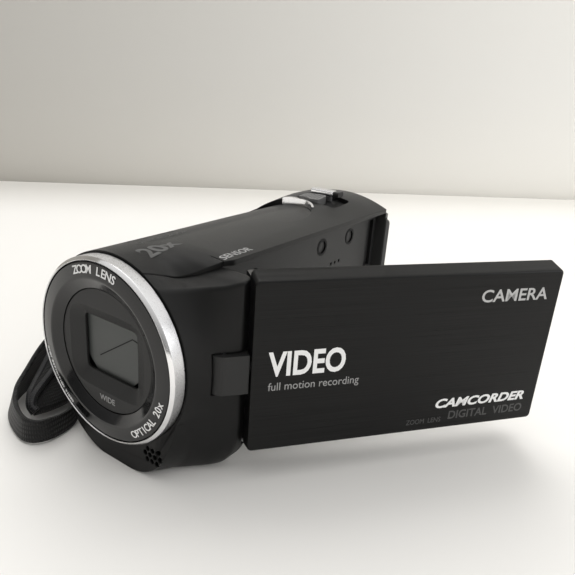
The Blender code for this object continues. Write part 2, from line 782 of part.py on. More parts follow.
def hinge():
    """The hinge block, the swing pin that it turns on and the tilt shaft that the screen turns on."""
    half = BLOCK_HEIGHT / 2
    barrel = prism("hinge_block", circle((0, 0), BLOCK_RADIUS, 32), -half, half, "z", dark_plastic())
    arm = box("arm", (-BLOCK_RADIUS, 0, -half), (BLOCK_RADIUS, ARM_END, half))
    join(barrel, arm)
    cut(
        barrel,
        prism("pin_bore", circle((0, 0), PIN_RADIUS + PIN_CLEAR, 20), -CUT * 2, CUT * 2, "z"),
        prism("shaft_bore", circle((TILT_X, 0), SHAFT_RADIUS + GAP, 20), PIN_RADIUS + 1.2 * MM, CUT * 3, "y"),
    )
    shaft_outline = circle((TILT_X, 0), SHAFT_RADIUS, 20)
    shaft = prism("tilt_shaft", shaft_outline, PIN_RADIUS + 1.6 * MM, SHAFT_END, "y", steel())
    reach = half + PIN_HOLD
    pin = prism("hinge_pin", circle((0, 0), PIN_RADIUS, 20), -reach, reach, "z", steel())
    return barrel, shaft, pin


def screen():
    """The screen's outer cover, inner frame, glass, display and multi-selector, closed."""
    low_z = SCREEN_CENTRE_HEIGHT - SCREEN_HEIGHT / 2
    high_z = SCREEN_CENTRE_HEIGHT + SCREEN_HEIGHT / 2
    start, end = HINGE_LEAD, HINGE_LEAD + SCREEN_LENGTH
    split = OUTER_FACE - COVER_DEPTH
    rings = []
    for x, grow in ((OUTER_FACE, 0.0), (OUTER_FACE - 0.35 * MM, 0.3 * MM), (split, DRAFT)):
        end_grow = min(grow, 0.3 * MM)
        outline = rounded_rectangle((start, low_z - grow), (end + end_grow, high_z + grow), 1.0 * MM, 3)
        rings.append([(x, y, z) for y, z in outline])
    cover = loft("lcd_cover", rings, satin_black())
    pocket = box(
        "pocket",
        (split - CUT, POCKET_START + 4.0 * MM, low_z + PANEL_WALL),
        (OUTER_FACE - PANEL_WALL, end - PANEL_WALL, high_z - PANEL_WALL),
    )
    split_in = split - GAP
    frame_high = high_z - 0.4 * MM
    frame = box(
        "lcd_frame", (INNER_FACE, start + 0.2 * MM, low_z - 0.8 * MM), (split_in, end, frame_high), gloss_black()
    )
    glass_end = end - GLASS_MARGIN
    glass_start = glass_end - GLASS_SIZE[0]
    glass_low = SCREEN_CENTRE_HEIGHT - GLASS_SIZE[1] / 2 - 0.4 * MM
    glass_high = glass_low + GLASS_SIZE[1]
    seat = INNER_FACE + GLASS_THICKNESS + 0.4 * MM
    well = box(
        "well", (INNER_FACE - CUT, glass_start - GAP, glass_low - GAP), (seat, glass_end + GAP, glass_high + GAP)
    )
    module_low = (seat + 0.1 * MM, glass_start + 2 * MM, glass_low + 1.5 * MM)
    module_high = (split_in + 0.9 * MM, glass_end - 1.5 * MM, glass_high - 1.5 * MM)
    room = box(
        "room",
        (seat - MM, module_low[1] - GAP, module_low[2] - GAP),
        (split_in + CUT, module_high[1] + GAP, module_high[2] + GAP),
    )
    selector_y = (start + glass_start) / 2 + 0.3 * MM
    hole_outline = circle((selector_y, 0.0), SELECTOR_RADIUS + GAP, 24)
    selector_hole = prism("selector_hole", hole_outline, INNER_FACE - MM, INNER_FACE + 2.6 * MM, "x")
    cut(cover, pocket, shaft_room("cover_bore"))
    cut(frame, well, room, shaft_room("frame_bore"), selector_hole)
    glass_pane = box(
        "lcd_screen",
        (INNER_FACE + 0.2 * MM, glass_start, glass_low),
        (INNER_FACE + 0.2 * MM + GLASS_THICKNESS, glass_end, glass_high),
        glass(),
    )
    module = box("lcd_module", module_low, module_high, steel())
    knob_outline = circle((selector_y, 0.0), SELECTOR_RADIUS, 24)
    low, high = INNER_FACE - 0.3 * MM, INNER_FACE + 1.7 * MM
    selector = prism("multi_selector", knob_outline, low, high, "x", dark_plastic())
    return cover, frame, glass_pane, module, selector


def shaft_room(name):
    outline = circle((TILT_X, 0), SHAFT_RADIUS + GAP, 20)
    return prism(name, outline, HINGE_LEAD - CUT, SHAFT_END + GAP, "y")


def hinge_seat(front):
    """The notch in the flare for the hinge block, the pin's holes and the rounded rear edge."""
    y = along(HINGE_DEPTH)
    half = BLOCK_HEIGHT / 2 + NOTCH_CLEAR
    well = prism(
        "well", circle((HINGE_X, y), BLOCK_RADIUS + NOTCH_CLEAR, 32), above(-half), above(half), "z"
    )
    sweep = box(
        "sweep",
        (HINGE_X - BLOCK_RADIUS - NOTCH_CLEAR, y, above(-half)),
        (HINGE_X + CUT * 2, along(SHELL_SEAM + CUT), above(half)),
    )
    slot_low = (HINGE_X, y - BLOCK_RADIUS - NOTCH_CLEAR, above(-half))
    slot = box("slot", slot_low, (HINGE_X + CUT * 2, y + MM, above(half)))
    reach = BLOCK_HEIGHT / 2 + PIN_HOLD + PIN_CLEAR
    pin_outline = circle((HINGE_X, y), PIN_RADIUS + PIN_CLEAR, 20)
    pin_hole = prism("pin_hole", pin_outline, above(-reach), above(reach), "z")
    cut(front, well, sweep, slot, pin_hole, solver="MANIFOLD")
    corner = prism("corner", circle((HINGE_X, y), HINGE_LEAD - 0.35 * MM, 64), -CUT, above(40 * MM), "z")
    outside = box(
        "outside", (HINGE_X, y, -CUT), (HINGE_X + CUT * 2, along(SHELL_SEAM + CUT), above(40 * MM))
    )
    cut(outside, corner)
    cut(front, outside, solver="MANIFOLD")


# ---------------------------------------------------------------- screen bay


def door_opening(name, spec, grow):
    near, far, low, high = spec
    return box(
        name,
        (BAY_FLOOR_X - WALL - MM, along(near - grow), above(low - grow)),
        (BAY_FLOOR_X + MM, along(far + grow), above(high + grow)),
    )


def bay_details(bay):
    """Buttons, speaker, doors and sockets in the panel behind the screen."""
    holes = []
    outside = BAY_FLOOR_X + CUT
    for name, depth, height in ROUND_BUTTONS:
        centre = (along(depth), above(height))
        holes.append(cylinder(name + "_hole", centre, ROUND_BUTTON_RADIUS + GAP, 0, outside, "x", count=24))
    depth, height = SPEAKER_PLACE
    for row in range(-1, 2):
        for column in range(-1, 2):
            centre = (along(depth + column * SPEAKER_PITCH), above(height + row * SPEAKER_PITCH))
            holes.append(cylinder("speaker_hole", centre, SPEAKER_HOLE, 0, outside, "x", count=8))
    groove = box(
        "groove",
        (BAY_FLOOR_X - WALL + 0.5 * MM, along(GROOVE_DEPTH[0]), above(GROOVE_HEIGHT[0])),
        (BAY_FLOOR_X + CUT, along(GROOVE_DEPTH[1]), above(GROOVE_HEIGHT[1])),
    )
    openings = [door_opening("card_opening", CARD_DOOR, GAP), door_opening("jack_opening", JACK_COVER, GAP)]
    cut(bay, *holes, groove, *openings)
    for name, depth, height in ROUND_BUTTONS:
        centre = (along(depth), above(height))
        inner, outer = BAY_FLOOR_X - WALL - 0.9 * MM, BAY_FLOOR_X - 0.3 * MM
        cylinder(name, centre, ROUND_BUTTON_RADIUS, inner, outer, "x", dark_plastic(), 24)
    back = BAY_FLOOR_X - WALL - GAP
    centre = (along(SPEAKER_PLACE[0]), above(SPEAKER_PLACE[1]))
    cylinder("speaker", centre, 4.6 * MM, back - 2.6 * MM, back, "x", steel(), 24)
    for name, spec in (("card_door", CARD_DOOR), ("jack_cover", JACK_COVER)):
        near, far, low, high = spec
        inner = BAY_FLOOR_X - DOOR_THICKNESS
        box(name, (inner, along(near), above(low)), (BAY_FLOOR_X, along(far), above(high)), dark_plastic())
    for name, spec, length in (("card_socket", CARD_DOOR, 2.0 * MM), ("jack_socket", JACK_COVER, 6.0 * MM)):
        near, far, low, high = spec
        face = BAY_FLOOR_X - DOOR_THICKNESS - 0.6 * MM
        item = box(
            name,
            (face - length, along(near + 1.2 * MM), above(low + 1.2 * MM)),
            (face, along(far - 1.2 * MM), above(high - 1.2 * MM)),
            steel(),
        )
        mouth = box(
            name + "_mouth",
            (face - length + 0.8 * MM, along(near + 2.2 * MM), above((low + high) / 2 - 1.2 * MM)),
            (face + MM, along(far - 2.2 * MM), above((low + high) / 2 + 1.2 * MM)),
        )
        cut(item, mouth)


# ---------------------------------------------------------------- boards


def boards():
    """The main board behind the screen bay and the small board under the top controls."""
    main_low = (8.6 * MM, along(56 * MM), above(-20 * MM))
    box("main_board", main_low, (9.8 * MM, along(88 * MM), above(15 * MM)), board_green())
    key_low = (-9 * MM, along(62 * MM), above(KEY_BOARD_TOP - MM))
    box("key_board", key_low, (7.6 * MM, along(88 * MM), above(KEY_BOARD_TOP)), board_green())


# ---------------------------------------------------------------- top controls


def trim_outline(grow):
    """An arc band behind the finger scoop, from one end to the other and back."""
    inner = SCOOP_RADIUS - grow
    outer = SCOOP_RADIUS + TRIM_WIDTH + grow
    spread = grow / SCOOP_RADIUS
    angles = np.linspace(TRIM_ANGLES[0] - spread, TRIM_ANGLES[1] + spread, 25)
    cx, cy = SCOOP_CENTRE[0], along(SCOOP_CENTRE[1])
    outline = [(cx + outer * cos(a), cy + outer * sin(a)) for a in angles]
    return outline + [(cx + inner * cos(a), cy + inner * sin(a)) for a in reversed(angles)]


def trim_disc(name, grow):
    """Everything in front of the trim arc, grown by a margin."""
    centre = (SCOOP_CENTRE[0], along(SCOOP_CENTRE[1]))
    outline = circle(centre, SCOOP_RADIUS + TRIM_WIDTH + grow, 90)
    return prism(name, outline, above(KEY_BOARD_TOP), above(SKY), "z")


def pad_rectangle(spans_x, spans_depth, grow, radius):
    low = (spans_x[0] - grow, along(spans_depth[0] - grow))
    high = (spans_x[1] + grow, along(spans_depth[1] + grow))
    return rounded_rectangle(low, high, radius, 3)


def finger_scoop(cover):
    """Lowers the top in front of the trim arc, so that the hump behind it starts with a step."""
    outline = circle((SCOOP_CENTRE[0], along(SCOOP_CENTRE[1])), SCOOP_RADIUS, 72)
    scoop = prism("scoop", outline, above(TRIM_BASE - CUT), above(SKY), "z")
    cut(scoop, body_form("low_form", low=True), solver="MANIFOLD")
    cut(cover, scoop, solver="MANIFOLD")


def control_recess(cover):
    """A shallow tray round the photo button and the zoom lever."""
    span_x = (BUTTON_X[0] - 1.2 * MM, LEVER_X[1] + LEVER_TRAVEL + 0.8 * MM)
    outline = pad_rectangle(span_x, (BUTTON_DEPTH[0], LEVER_DEPTH[1] + 0.2 * MM), 0.2 * MM, 1.4 * MM)
    tray = prism("tray", outline, above(TRIM_BASE - CUT), above(SKY), "z")
    cut(tray, body_form("tray_floor", RECESS_DEPTH), solver="MANIFOLD")
    cut(tray, trim_disc("tray_limit", TRIM_LAP))
    cut(cover, tray, solver="MANIFOLD")


def top_controls(cover):
    """Photo button, its trim and the zoom lever, each in an opening of the top cover."""
    finger_scoop(cover)
    control_recess(cover)
    floor = above(KEY_BOARD_TOP + GAP)
    hole = prism(
        "button_hole", pad_rectangle(BUTTON_X, BUTTON_DEPTH, GAP, 1.2 * MM), floor, above(SKY), "z"
    )
    cut(hole, trim_disc("hole_limit", TRIM_LAP))
    trim_hole = prism("trim_hole", trim_outline(GAP), above(TRIM_BASE - GAP), above(SKY), "z")
    stem_x = (LEVER_X[0] + LEVER_STEM, LEVER_X[1] - LEVER_STEM)
    stem_depth = (LEVER_DEPTH[0] + 0.5 * MM, LEVER_DEPTH[1] - 0.5 * MM)
    slot = box(
        "lever_slot",
        (stem_x[0] - LEVER_TRAVEL - GAP, along(stem_depth[0] - GAP), floor),
        (stem_x[1] + LEVER_TRAVEL + GAP, along(stem_depth[1] + GAP), above(SKY)),
    )
    cut(cover, hole, trim_hole, slot, solver="MANIFOLD")

    button_outline = pad_rectangle(BUTTON_X, BUTTON_DEPTH, 0.0, 1.0 * MM)
    button = prism("photo_button", button_outline, floor + 1.2 * MM, above(SKY), "z", dark_plastic())
    cut(button, trim_disc("button_limit", GAP + TRIM_LAP))
    keep(button, body_form("button_top", -BUTTON_PROUD))
    trim = prism("photo_trim", trim_outline(0.0), above(TRIM_BASE), above(SKY), "z", chrome())
    keep(trim, body_form("trim_top", -0.35 * MM))

    stem_low = (stem_x[0], along(stem_depth[0]), floor + 0.6 * MM)
    stem_high = (stem_x[1], along(stem_depth[1]), above(LEVER_TOP - 0.5 * LEVER_THICKNESS))
    lever = box("zoom_lever", stem_low, stem_high, chrome())
    bar_low = (LEVER_X[0], along(LEVER_DEPTH[0]), above(LEVER_TOP - LEVER_THICKNESS))
    join(lever, box("lever_bar", bar_low, (LEVER_X[1], along(LEVER_DEPTH[1]), above(LEVER_TOP))))


# ---------------------------------------------------------------- rear and battery


def rear_details(rear):
    """Battery and its terminals, and the start and stop button."""
    x, z = START_BUTTON
    w, h = START_SIZE
    outline = rounded_rectangle((x - w / 2, above(z - h / 2)), (x + w / 2, above(z + h / 2)), 1.6 * MM, 4)
    grown = rounded_rectangle(
        (x - w / 2 - GAP, above(z - h / 2 - GAP)), (x + w / 2 + GAP, above(z + h / 2 + GAP)), 1.9 * MM, 4
    )
    hole = prism("start_hole", grown, along(REAR_SEAM - MM), along(BODY_DEPTH + CUT), "y")
    left, right, low, high = TERMINALS
    socket = box(
        "terminal_hole",
        (left - GAP, along(BODY_DEPTH - CUT), above(low - GAP)),
        (right + GAP, along(BODY_DEPTH + CUT), above(high + GAP)),
    )
    cut(rear, hole, socket, solver="MANIFOLD")
    inner, outer = along(BODY_DEPTH - 3.4 * MM), along(BODY_DEPTH + 0.4 * MM)
    prism("start_stop_button", outline, inner, outer, "y", dark_plastic())
    block_low = (left, along(BODY_DEPTH - 3.0 * MM), above(low))
    box("battery_terminals", block_low, (right, along(BODY_DEPTH), above(high)), dark_plastic())
    near = (BATTERY_X - BATTERY_WIDTH / 2, along(BODY_DEPTH + GAP))
    far = (BATTERY_X + BATTERY_WIDTH / 2, along(BODY_DEPTH + GAP + BATTERY_THICKNESS))
    outline = rounded_rectangle(near, far, 3.0 * MM, 4)
    low, high = above(BATTERY_TOP - BATTERY_HEIGHT), above(BATTERY_TOP)
    battery = prism("battery_pack", outline, low, high, "z", dark_plastic())
    add_bevel(battery, 0.8 * MM, 2)


# ---------------------------------------------------------------- base


def base_details(base):
    """Tripod nut, battery release latch and the base screws."""
    floor = above(-AXIS_HEIGHT)
    centre = (0, along(TRIPOD_DEPTH))
    nut_hole = cylinder("nut_hole", centre, TRIPOD_NUT + GAP, floor - CUT, floor + CUT, "z", count=24)
    latch_hole = box(
        "latch_hole",
        (LATCH_X[0] - GAP, along(LATCH_DEPTH[0] - GAP), floor - CUT),
        (LATCH_X[1] + LATCH_TRAVEL + GAP, along(LATCH_DEPTH[1] + GAP), floor + CUT),
    )
    screw_holes = []
    for x, depth in SCREW_PLACES:
        place = (x, along(depth))
        seat = cylinder(
            "screw_seat", place, SCREW_RADIUS + GAP, floor - CUT, floor + 1.2 * MM, "z", count=16
        )
        hole = cylinder("screw_hole", place, SCREW_SHANK + GAP, floor - CUT, floor + CUT * 2, "z", count=16)
        screw_holes += [seat, hole]
    cut(base, nut_hole, latch_hole, *screw_holes, solver="MANIFOLD")

    sleeve = cylinder(
        "tripod_nut", centre, TRIPOD_NUT, floor + 0.2 * MM, floor + NUT_LENGTH, "z", steel(), 24
    )
    seat = floor + WALL + GAP
    flange = cylinder("flange", centre, TRIPOD_NUT + 1.8 * MM, seat, seat + 1.2 * MM, "z", count=24)
    join(sleeve, flange)
    cut(
        sleeve, cylinder("thread", centre, TRIPOD_BORE, floor - CUT, floor + NUT_LENGTH - MM, "z", count=24)
    )
    box(
        "release_latch",
        (LATCH_X[0], along(LATCH_DEPTH[0]), floor + 0.25 * MM),
        (LATCH_X[1], along(LATCH_DEPTH[1]), floor + WALL + 1.4 * MM),
        dark_plastic(),
    )
    for i, (x, depth) in enumerate(SCREW_PLACES):
        place = (x, along(depth))
        name = f"base_screw_{i + 1}"
        head = cylinder(name, place, SCREW_RADIUS, floor + 0.2 * MM, floor + 0.9 * MM, "z", steel(), 16)
        shank = cylinder("shank", place, SCREW_SHANK, floor + 0.5 * MM, floor + 4.5 * MM, "z", count=16)
        join(head, shank)


# ---------------------------------------------------------------- grip side


def cover_switch(front):
    """The slider on the strap side that opens and shuts the lens shutter."""
    depth, height = SWITCH_PLACE
    slot = box(
        "switch_slot",
        (-BARREL_RADIUS - CUT, along(depth - 1.6 * MM), above(height - 1.5 * MM - GAP)),
        (-BARREL_RADIUS + 3.4 * MM, along(depth + 1.6 * MM), above(height + SWITCH_TRAVEL + 1.5 * MM + GAP)),
    )
    cut(front, slot, solver="MANIFOLD")
    stem = box(
        "lens_cover_switch",
        (-BARREL_RADIUS + 0.8 * MM, along(depth - 1.2 * MM), above(height - 1.5 * MM)),
        (-BARREL_RADIUS - 0.4 * MM, along(depth + 1.2 * MM), above(height + 1.5 * MM)),
        dark_plastic(),
    )
    pad = box(
        "switch_pad",
        (-BARREL_RADIUS - 1.3 * MM, along(depth - 2.2 * MM), above(height - 2.6 * MM)),
        (-BARREL_RADIUS - 0.3 * MM, along(depth + 2.2 * MM), above(height + 2.6 * MM)),
    )
    join(stem, pad)


def strip_edges(route):
    """Lower and upper edge points along the belt or the pad."""
    lower = [[x * MM, along(d * MM), above(h * MM)] for x, d, h, *_ in route]
    upper = [[x * MM, along(d * MM), above(h * MM)] for *_, x, d, h in route]
    return smooth_curve(lower, BELT_STEPS), smooth_curve(upper, BELT_STEPS)


def ribbon(name, route, thickness, finish):
    """A flat strip that runs along a route."""
    lower, upper = strip_edges(route)
    rings = []
    for i in range(len(lower)):
        before, after = max(i - 1, 0), min(i + 1, len(lower) - 1)
        forward = (lower[after] + upper[after]) - (lower[before] + upper[before])
        normal = np.cross(forward, upper[i] - lower[i])
        inner = 0.5 * thickness * normal / np.linalg.norm(normal)
        rings.append([lower[i] + inner, upper[i] + inner, upper[i] - inner, lower[i] - inner])
    return loft(name, rings, finish)


def hand_strap():
    """A woven belt from lug to lug, with a soft pad inside its outer run."""
    ribbon("grip_webbing", BELT_ROUTE, BELT_THICKNESS, webbing_black())
    ribbon("grip_pad", PAD_ROUTE, PAD_THICKNESS, webbing_black())
    front_depth = BELT_ROUTE[0][1] * MM + GAP + BELT_THICKNESS / 2
    rear_depth = BELT_ROUTE[-1][1] * MM + GAP + BELT_THICKNESS / 2
    lugs = (
        ("front_lug", front_depth, BELT_ROUTE[0]),
        ("rear_lug", rear_depth, BELT_ROUTE[-1]),
    )
    lug_x = -BARREL_RADIUS - GAP
    for name, depth, (_, _, low, _, _, high) in lugs:
        near = (lug_x - LUG_SIZE[0], along(depth), above((low - 1.0) * MM))
        far = (lug_x, along(depth + LUG_SIZE[1]), above((high + 1.0) * MM))
        box(name, near, far, steel(), 0.5 * MM)


def place_screen():
    """Hangs the screen on empties at its swing and tilt axes, turned open."""
    swing = bpy.data.objects.new("lcd_swing_axis", None)
    swing.location = (HINGE_X, along(HINGE_DEPTH), above(0))
    swing.rotation_euler = (0, 0, -OPEN_ANGLE)
    tilt = bpy.data.objects.new("lcd_tilt_axis", None)
    tilt.location = (TILT_X, 0, 0)
    tilt.parent = swing
    for empty in (swing, tilt):
        bpy.context.scene.collection.objects.link(empty)
    barrel, shaft, pin = hinge()
    for item in (barrel, shaft):
        item.parent = swing
    pin.location = swing.location
    for item in screen():
        item.parent = tilt
        item.location = (-TILT_X, 0, 0)


def main():
    clear_scene()
    front, cover, grip, base, rear, bay = shells()
    lens_bores(front)
    lens_bores(cover)
    microphone_holes(front)
    hinge_seat(front)
    cover_switch(front)
    lens_trim()
    shutter()
    optics()
    microphone()
    place_screen()
    bay_details(bay)
    boards()
    top_controls(cover)
    rear_details(rear)
    base_details(base)
    hand_strap()
    for shell in (front, cover, grip, base, rear):
        smooth(shell, 32)


main()
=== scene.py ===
"""Looks for the compact camcorder: fine shells, trim, lettering, hand strap, materials, light and camera.

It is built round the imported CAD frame: metres, +Z up, lens along -Y, screen side +X, base at z = 0.
`depth` is the distance behind the lens ring's front edge, `height` the distance above the lens axis.
Screen pieces are made in the closed screen's own frame (x outward, y along the panel, z height) and then
turned open about the swing axis.
"""

from math import atan, copysign, cos, hypot, pi, radians, sin, sqrt

import bmesh
import bpy
import numpy as np
from mathutils import Matrix, Vector

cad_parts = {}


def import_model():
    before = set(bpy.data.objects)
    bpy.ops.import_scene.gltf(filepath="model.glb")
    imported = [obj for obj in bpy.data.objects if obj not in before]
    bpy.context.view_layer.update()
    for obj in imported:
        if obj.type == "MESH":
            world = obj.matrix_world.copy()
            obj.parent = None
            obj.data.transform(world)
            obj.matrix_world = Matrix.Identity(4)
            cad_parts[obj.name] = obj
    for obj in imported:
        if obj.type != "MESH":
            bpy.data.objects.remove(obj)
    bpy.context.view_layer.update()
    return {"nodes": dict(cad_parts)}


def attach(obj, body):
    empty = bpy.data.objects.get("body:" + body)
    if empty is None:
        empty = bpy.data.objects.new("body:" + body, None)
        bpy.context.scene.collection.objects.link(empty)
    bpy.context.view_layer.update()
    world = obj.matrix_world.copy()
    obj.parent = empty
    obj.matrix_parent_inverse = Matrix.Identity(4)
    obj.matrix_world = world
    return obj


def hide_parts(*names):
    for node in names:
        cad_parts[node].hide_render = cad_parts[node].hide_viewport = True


MM = 0.001

# Sizes that the CAD part was designed with
AXIS_HEIGHT = 27.5 * MM
RING_FRONT_Y = -45.0 * MM
BARREL_RADIUS = 22.5 * MM
SIDE_REACH = 28.0 * MM
SCREEN_LENGTH = 75.1 * MM
SCREEN_HEIGHT = 40.1 * MM
SCREEN_CENTRE_HEIGHT = 1.05 * MM
HINGE_X = 24.6 * MM
HINGE_DEPTH = 11.5 * MM
HINGE_LEAD = 5.5 * MM
OPEN_ANGLE = radians(38.3)
OUTER_FACE = SIDE_REACH - HINGE_X
COVER_DEPTH = 4.4 * MM
WALL = 1.6 * MM
BAY_END = 92.6 * MM
BAY_FLOOR_X = 17.8 * MM
BAY_TOP = 21.2 * MM
BODY_DEPTH = 98.5 * MM
SHELL_SEAM = 16.5 * MM
SKY = 60.0 * MM
CUT = 5.0 * MM

# Widths of the visible joints between shells
SEAM = 0.16 * MM


def along(depth):
    return RING_FRONT_Y + depth


def above(height):
    return AXIS_HEIGHT + height


def take_over(node):
    """Hides the CAD node, so that the piece made here is shown in its place."""
    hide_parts(node)


# ---------------------------------------------------------------- materials


def shader_of(name, colour, roughness, metallic=0.0, specular=0.5, coat=0.0, edge=0.0):
    """A Principled material, with rounded edges in its normals when an edge radius is given."""
    made = bpy.data.materials.new(name)
    made.use_nodes = True
    shader = made.node_tree.nodes["Principled BSDF"]
    shader.inputs["Base Color"].default_value = (*colour, 1.0)
    shader.inputs["Roughness"].default_value = roughness
    shader.inputs["Metallic"].default_value = metallic
    shader.inputs["Specular IOR Level"].default_value = specular
    shader.inputs["Coat Weight"].default_value = coat
    shader.inputs["Coat Roughness"].default_value = 0.06
    if edge:
        bevel = made.node_tree.nodes.new("ShaderNodeBevel")
        bevel.samples = 4
        bevel.inputs["Radius"].default_value = edge
        made.node_tree.links.new(bevel.outputs["Normal"], shader.inputs["Normal"])
    return made


def add_grain(finish, scale, strength, stretch=(1, 1, 1), rough_low=None, rough_high=None, source="Object"):
    """Fine surface grain: a noise that drives the bump and, if given, the roughness."""
    tree = finish.node_tree
    shader = tree.nodes["Principled BSDF"]
    coordinates = tree.nodes.new("ShaderNodeTexCoord")
    mapping = tree.nodes.new("ShaderNodeMapping")
    mapping.inputs["Scale"].default_value = stretch
    noise = tree.nodes.new("ShaderNodeTexNoise")
    noise.inputs["Scale"].default_value = scale
    noise.inputs["Detail"].default_value = 3.0
    bump = tree.nodes.new("ShaderNodeBump")
    bump.inputs["Strength"].default_value = strength
    bump.inputs["Distance"].default_value = 0.0001
    tree.links.new(coordinates.outputs[source], mapping.inputs["Vector"])
    tree.links.new(mapping.outputs["Vector"], noise.inputs["Vector"])
    tree.links.new(noise.outputs["Fac"], bump.inputs["Height"])
    earlier = shader.inputs["Normal"].links
    if earlier:
        tree.links.new(earlier[0].from_socket, bump.inputs["Normal"])
    tree.links.new(bump.outputs["Normal"], shader.inputs["Normal"])
    if rough_high is not None:
        spread = tree.nodes.new("ShaderNodeMapRange")
        spread.inputs["From Min"].default_value = 0.3
        spread.inputs["From Max"].default_value = 0.7
        spread.inputs["To Min"].default_value = rough_low
        spread.inputs["To Max"].default_value = rough_high
        tree.links.new(noise.outputs["Fac"], spread.inputs["Value"])
        tree.links.new(spread.outputs["Result"], shader.inputs["Roughness"])
    return noise


def satin_shell():
    """Moulded casing with a soft sheen."""
    made = shader_of("satin_shell", (0.005, 0.005, 0.005), 0.38, specular=0.22, edge=0.35 * MM)
    add_grain(made, 5200.0, 0.22, rough_low=0.36, rough_high=0.46)
    return made


def matt_plastic():
    made = shader_of("matt_plastic", (0.016, 0.016, 0.016), 0.5, specular=0.35, edge=0.25 * MM)
    add_grain(made, 4200.0, 0.3, rough_low=0.44, rough_high=0.58)
    return made


def brushed_panel():
    """Near-black metal, brushed along the panel."""
    made = shader_of("brushed_panel", (0.012, 0.012, 0.013), 0.3, specular=0.18, edge=0.25 * MM)
    tree = made.node_tree
    shader = tree.nodes["Principled BSDF"]
    noise = add_grain(
        made, 4200.0, 0.12, stretch=(1.0, 0.006, 1.0), rough_low=0.27, rough_high=0.36, source="UV"
    )
    tone = tree.nodes.new("ShaderNodeMapRange")
    tone.inputs["From Min"].default_value = 0.35
    tone.inputs["From Max"].default_value = 0.7
    tone.inputs["To Min"].default_value = 0.0035
    tone.inputs["To Max"].default_value = 0.0085
    tree.links.new(noise.outputs["Fac"], tone.inputs["Value"])
    tree.links.new(tone.outputs["Result"], shader.inputs["Base Color"])
    return made


def gloss_plastic():
    made = shader_of("gloss_plastic", (0.004, 0.004, 0.0045), 0.16, specular=0.4, coat=0.15, edge=0.15 * MM)
    add_grain(made, 900.0, 0.02, rough_low=0.10, rough_high=0.18)
    return made


def bright_trim():
    made = shader_of("bright_trim", (0.82, 0.82, 0.83), 0.12, metallic=1.0, edge=0.12 * MM)
    add_grain(made, 2500.0, 0.05, rough_low=0.08, rough_high=0.2)
    return made


def satin_metal():
    made = shader_of("satin_metal", (0.62, 0.62, 0.63), 0.3, metallic=1.0, edge=0.1 * MM)
    add_grain(made, 3500.0, 0.15, rough_low=0.24, rough_high=0.38)
    return made


def shutter_grey():
    made = shader_of("shutter_grey", (0.060, 0.064, 0.062), 0.42, specular=0.4)
    add_grain(made, 5200.0, 0.2, rough_low=0.38, rough_high=0.5)
    return made


def dark_glass():
    made = shader_of("dark_glass", (0.006, 0.008, 0.012), 0.04, specular=0.7, coat=1.0)
    add_grain(made, 300.0, 0.004, rough_low=0.03, rough_high=0.06)
    return made


def circuit_board():
    made = shader_of("circuit_board", (0.01, 0.07, 0.03), 0.45)
    add_grain(made, 900.0, 0.3, rough_low=0.35, rough_high=0.6)
    return made


def ink(name, colour, roughness=0.4):
    made = shader_of(name, colour, roughness)
    add_grain(made, 6000.0, 0.1, rough_low=roughness, rough_high=roughness + 0.1)
    return made


def woven_nylon(name, colour, ribs, rib_strength, shine):
    """Nylon webbing: warp ribs along the strip and a finer weft, from the strip's own UVs in metres."""
    made = shader_of(name, colour, shine, specular=0.35)
    tree = made.node_tree
    shader = tree.nodes["Principled BSDF"]
    shader.inputs["Sheen Weight"].default_value = 0.06
    shader.inputs["Sheen Roughness"].default_value = 0.4
    coordinates = tree.nodes.new("ShaderNodeTexCoord")
    waves = []
    for direction, spacing in (("X", 0.55 * MM), ("Y", ribs)):
        wave = tree.nodes.new("ShaderNodeTexWave")
        wave.wave_type = "BANDS"
        wave.bands_direction = direction
        wave.inputs["Scale"].default_value = 0.3142 / spacing
        wave.inputs["Distortion"].default_value = 0.35
        wave.inputs["Detail"].default_value = 1.0
        wave.inputs["Detail Scale"].default_value = 3.0
        tree.links.new(coordinates.outputs["UV"], wave.inputs["Vector"])
        waves.append(wave)
    noise = tree.nodes.new("ShaderNodeTexNoise")
    noise.inputs["Scale"].default_value = 2600.0
    tree.links.new(coordinates.outputs["UV"], noise.inputs["Vector"])
    weave = tree.nodes.new("ShaderNodeMath")
    weave.operation = "MULTIPLY"
    tree.links.new(waves[0].outputs["Fac"], weave.inputs[0])
    tree.links.new(waves[1].outputs["Fac"], weave.inputs[1])
    fuzz = tree.nodes.new("ShaderNodeMath")
    fuzz.operation = "MULTIPLY_ADD"
    fuzz.inputs[1].default_value = 0.5
    tree.links.new(noise.outputs["Fac"], fuzz.inputs[0])
    tree.links.new(weave.outputs["Value"], fuzz.inputs[2])
    bump = tree.nodes.new("ShaderNodeBump")
    bump.inputs["Strength"].default_value = rib_strength
    bump.inputs["Distance"].default_value = 0.25 * MM
    tree.links.new(fuzz.outputs["Value"], bump.inputs["Height"])
    tree.links.new(bump.outputs["Normal"], shader.inputs["Normal"])
    tone = tree.nodes.new("ShaderNodeMix")
    tone.data_type = "RGBA"
    tone.inputs["A"].default_value = (*[c * 0.45 for c in colour], 1.0)
    tone.inputs["B"].default_value = (*[c * 2.6 for c in colour], 1.0)
    tree.links.new(weave.outputs["Value"], tone.inputs["Factor"])
    tree.links.new(tone.outputs["Result"], shader.inputs["Base Color"])
    return made


# ---------------------------------------------------------------- mesh helpers


def make(name, builder, finish=None):
    """An object from a bmesh, with its faces turned outward."""
    bmesh.ops.recalc_face_normals(builder, faces=builder.faces)
    data = bpy.data.meshes.new(name)
    builder.to_mesh(data)
    builder.free()
    if finish:
        data.materials.append(finish)
    item = bpy.data.objects.new(name, data)
    bpy.context.scene.collection.objects.link(item)
    return item


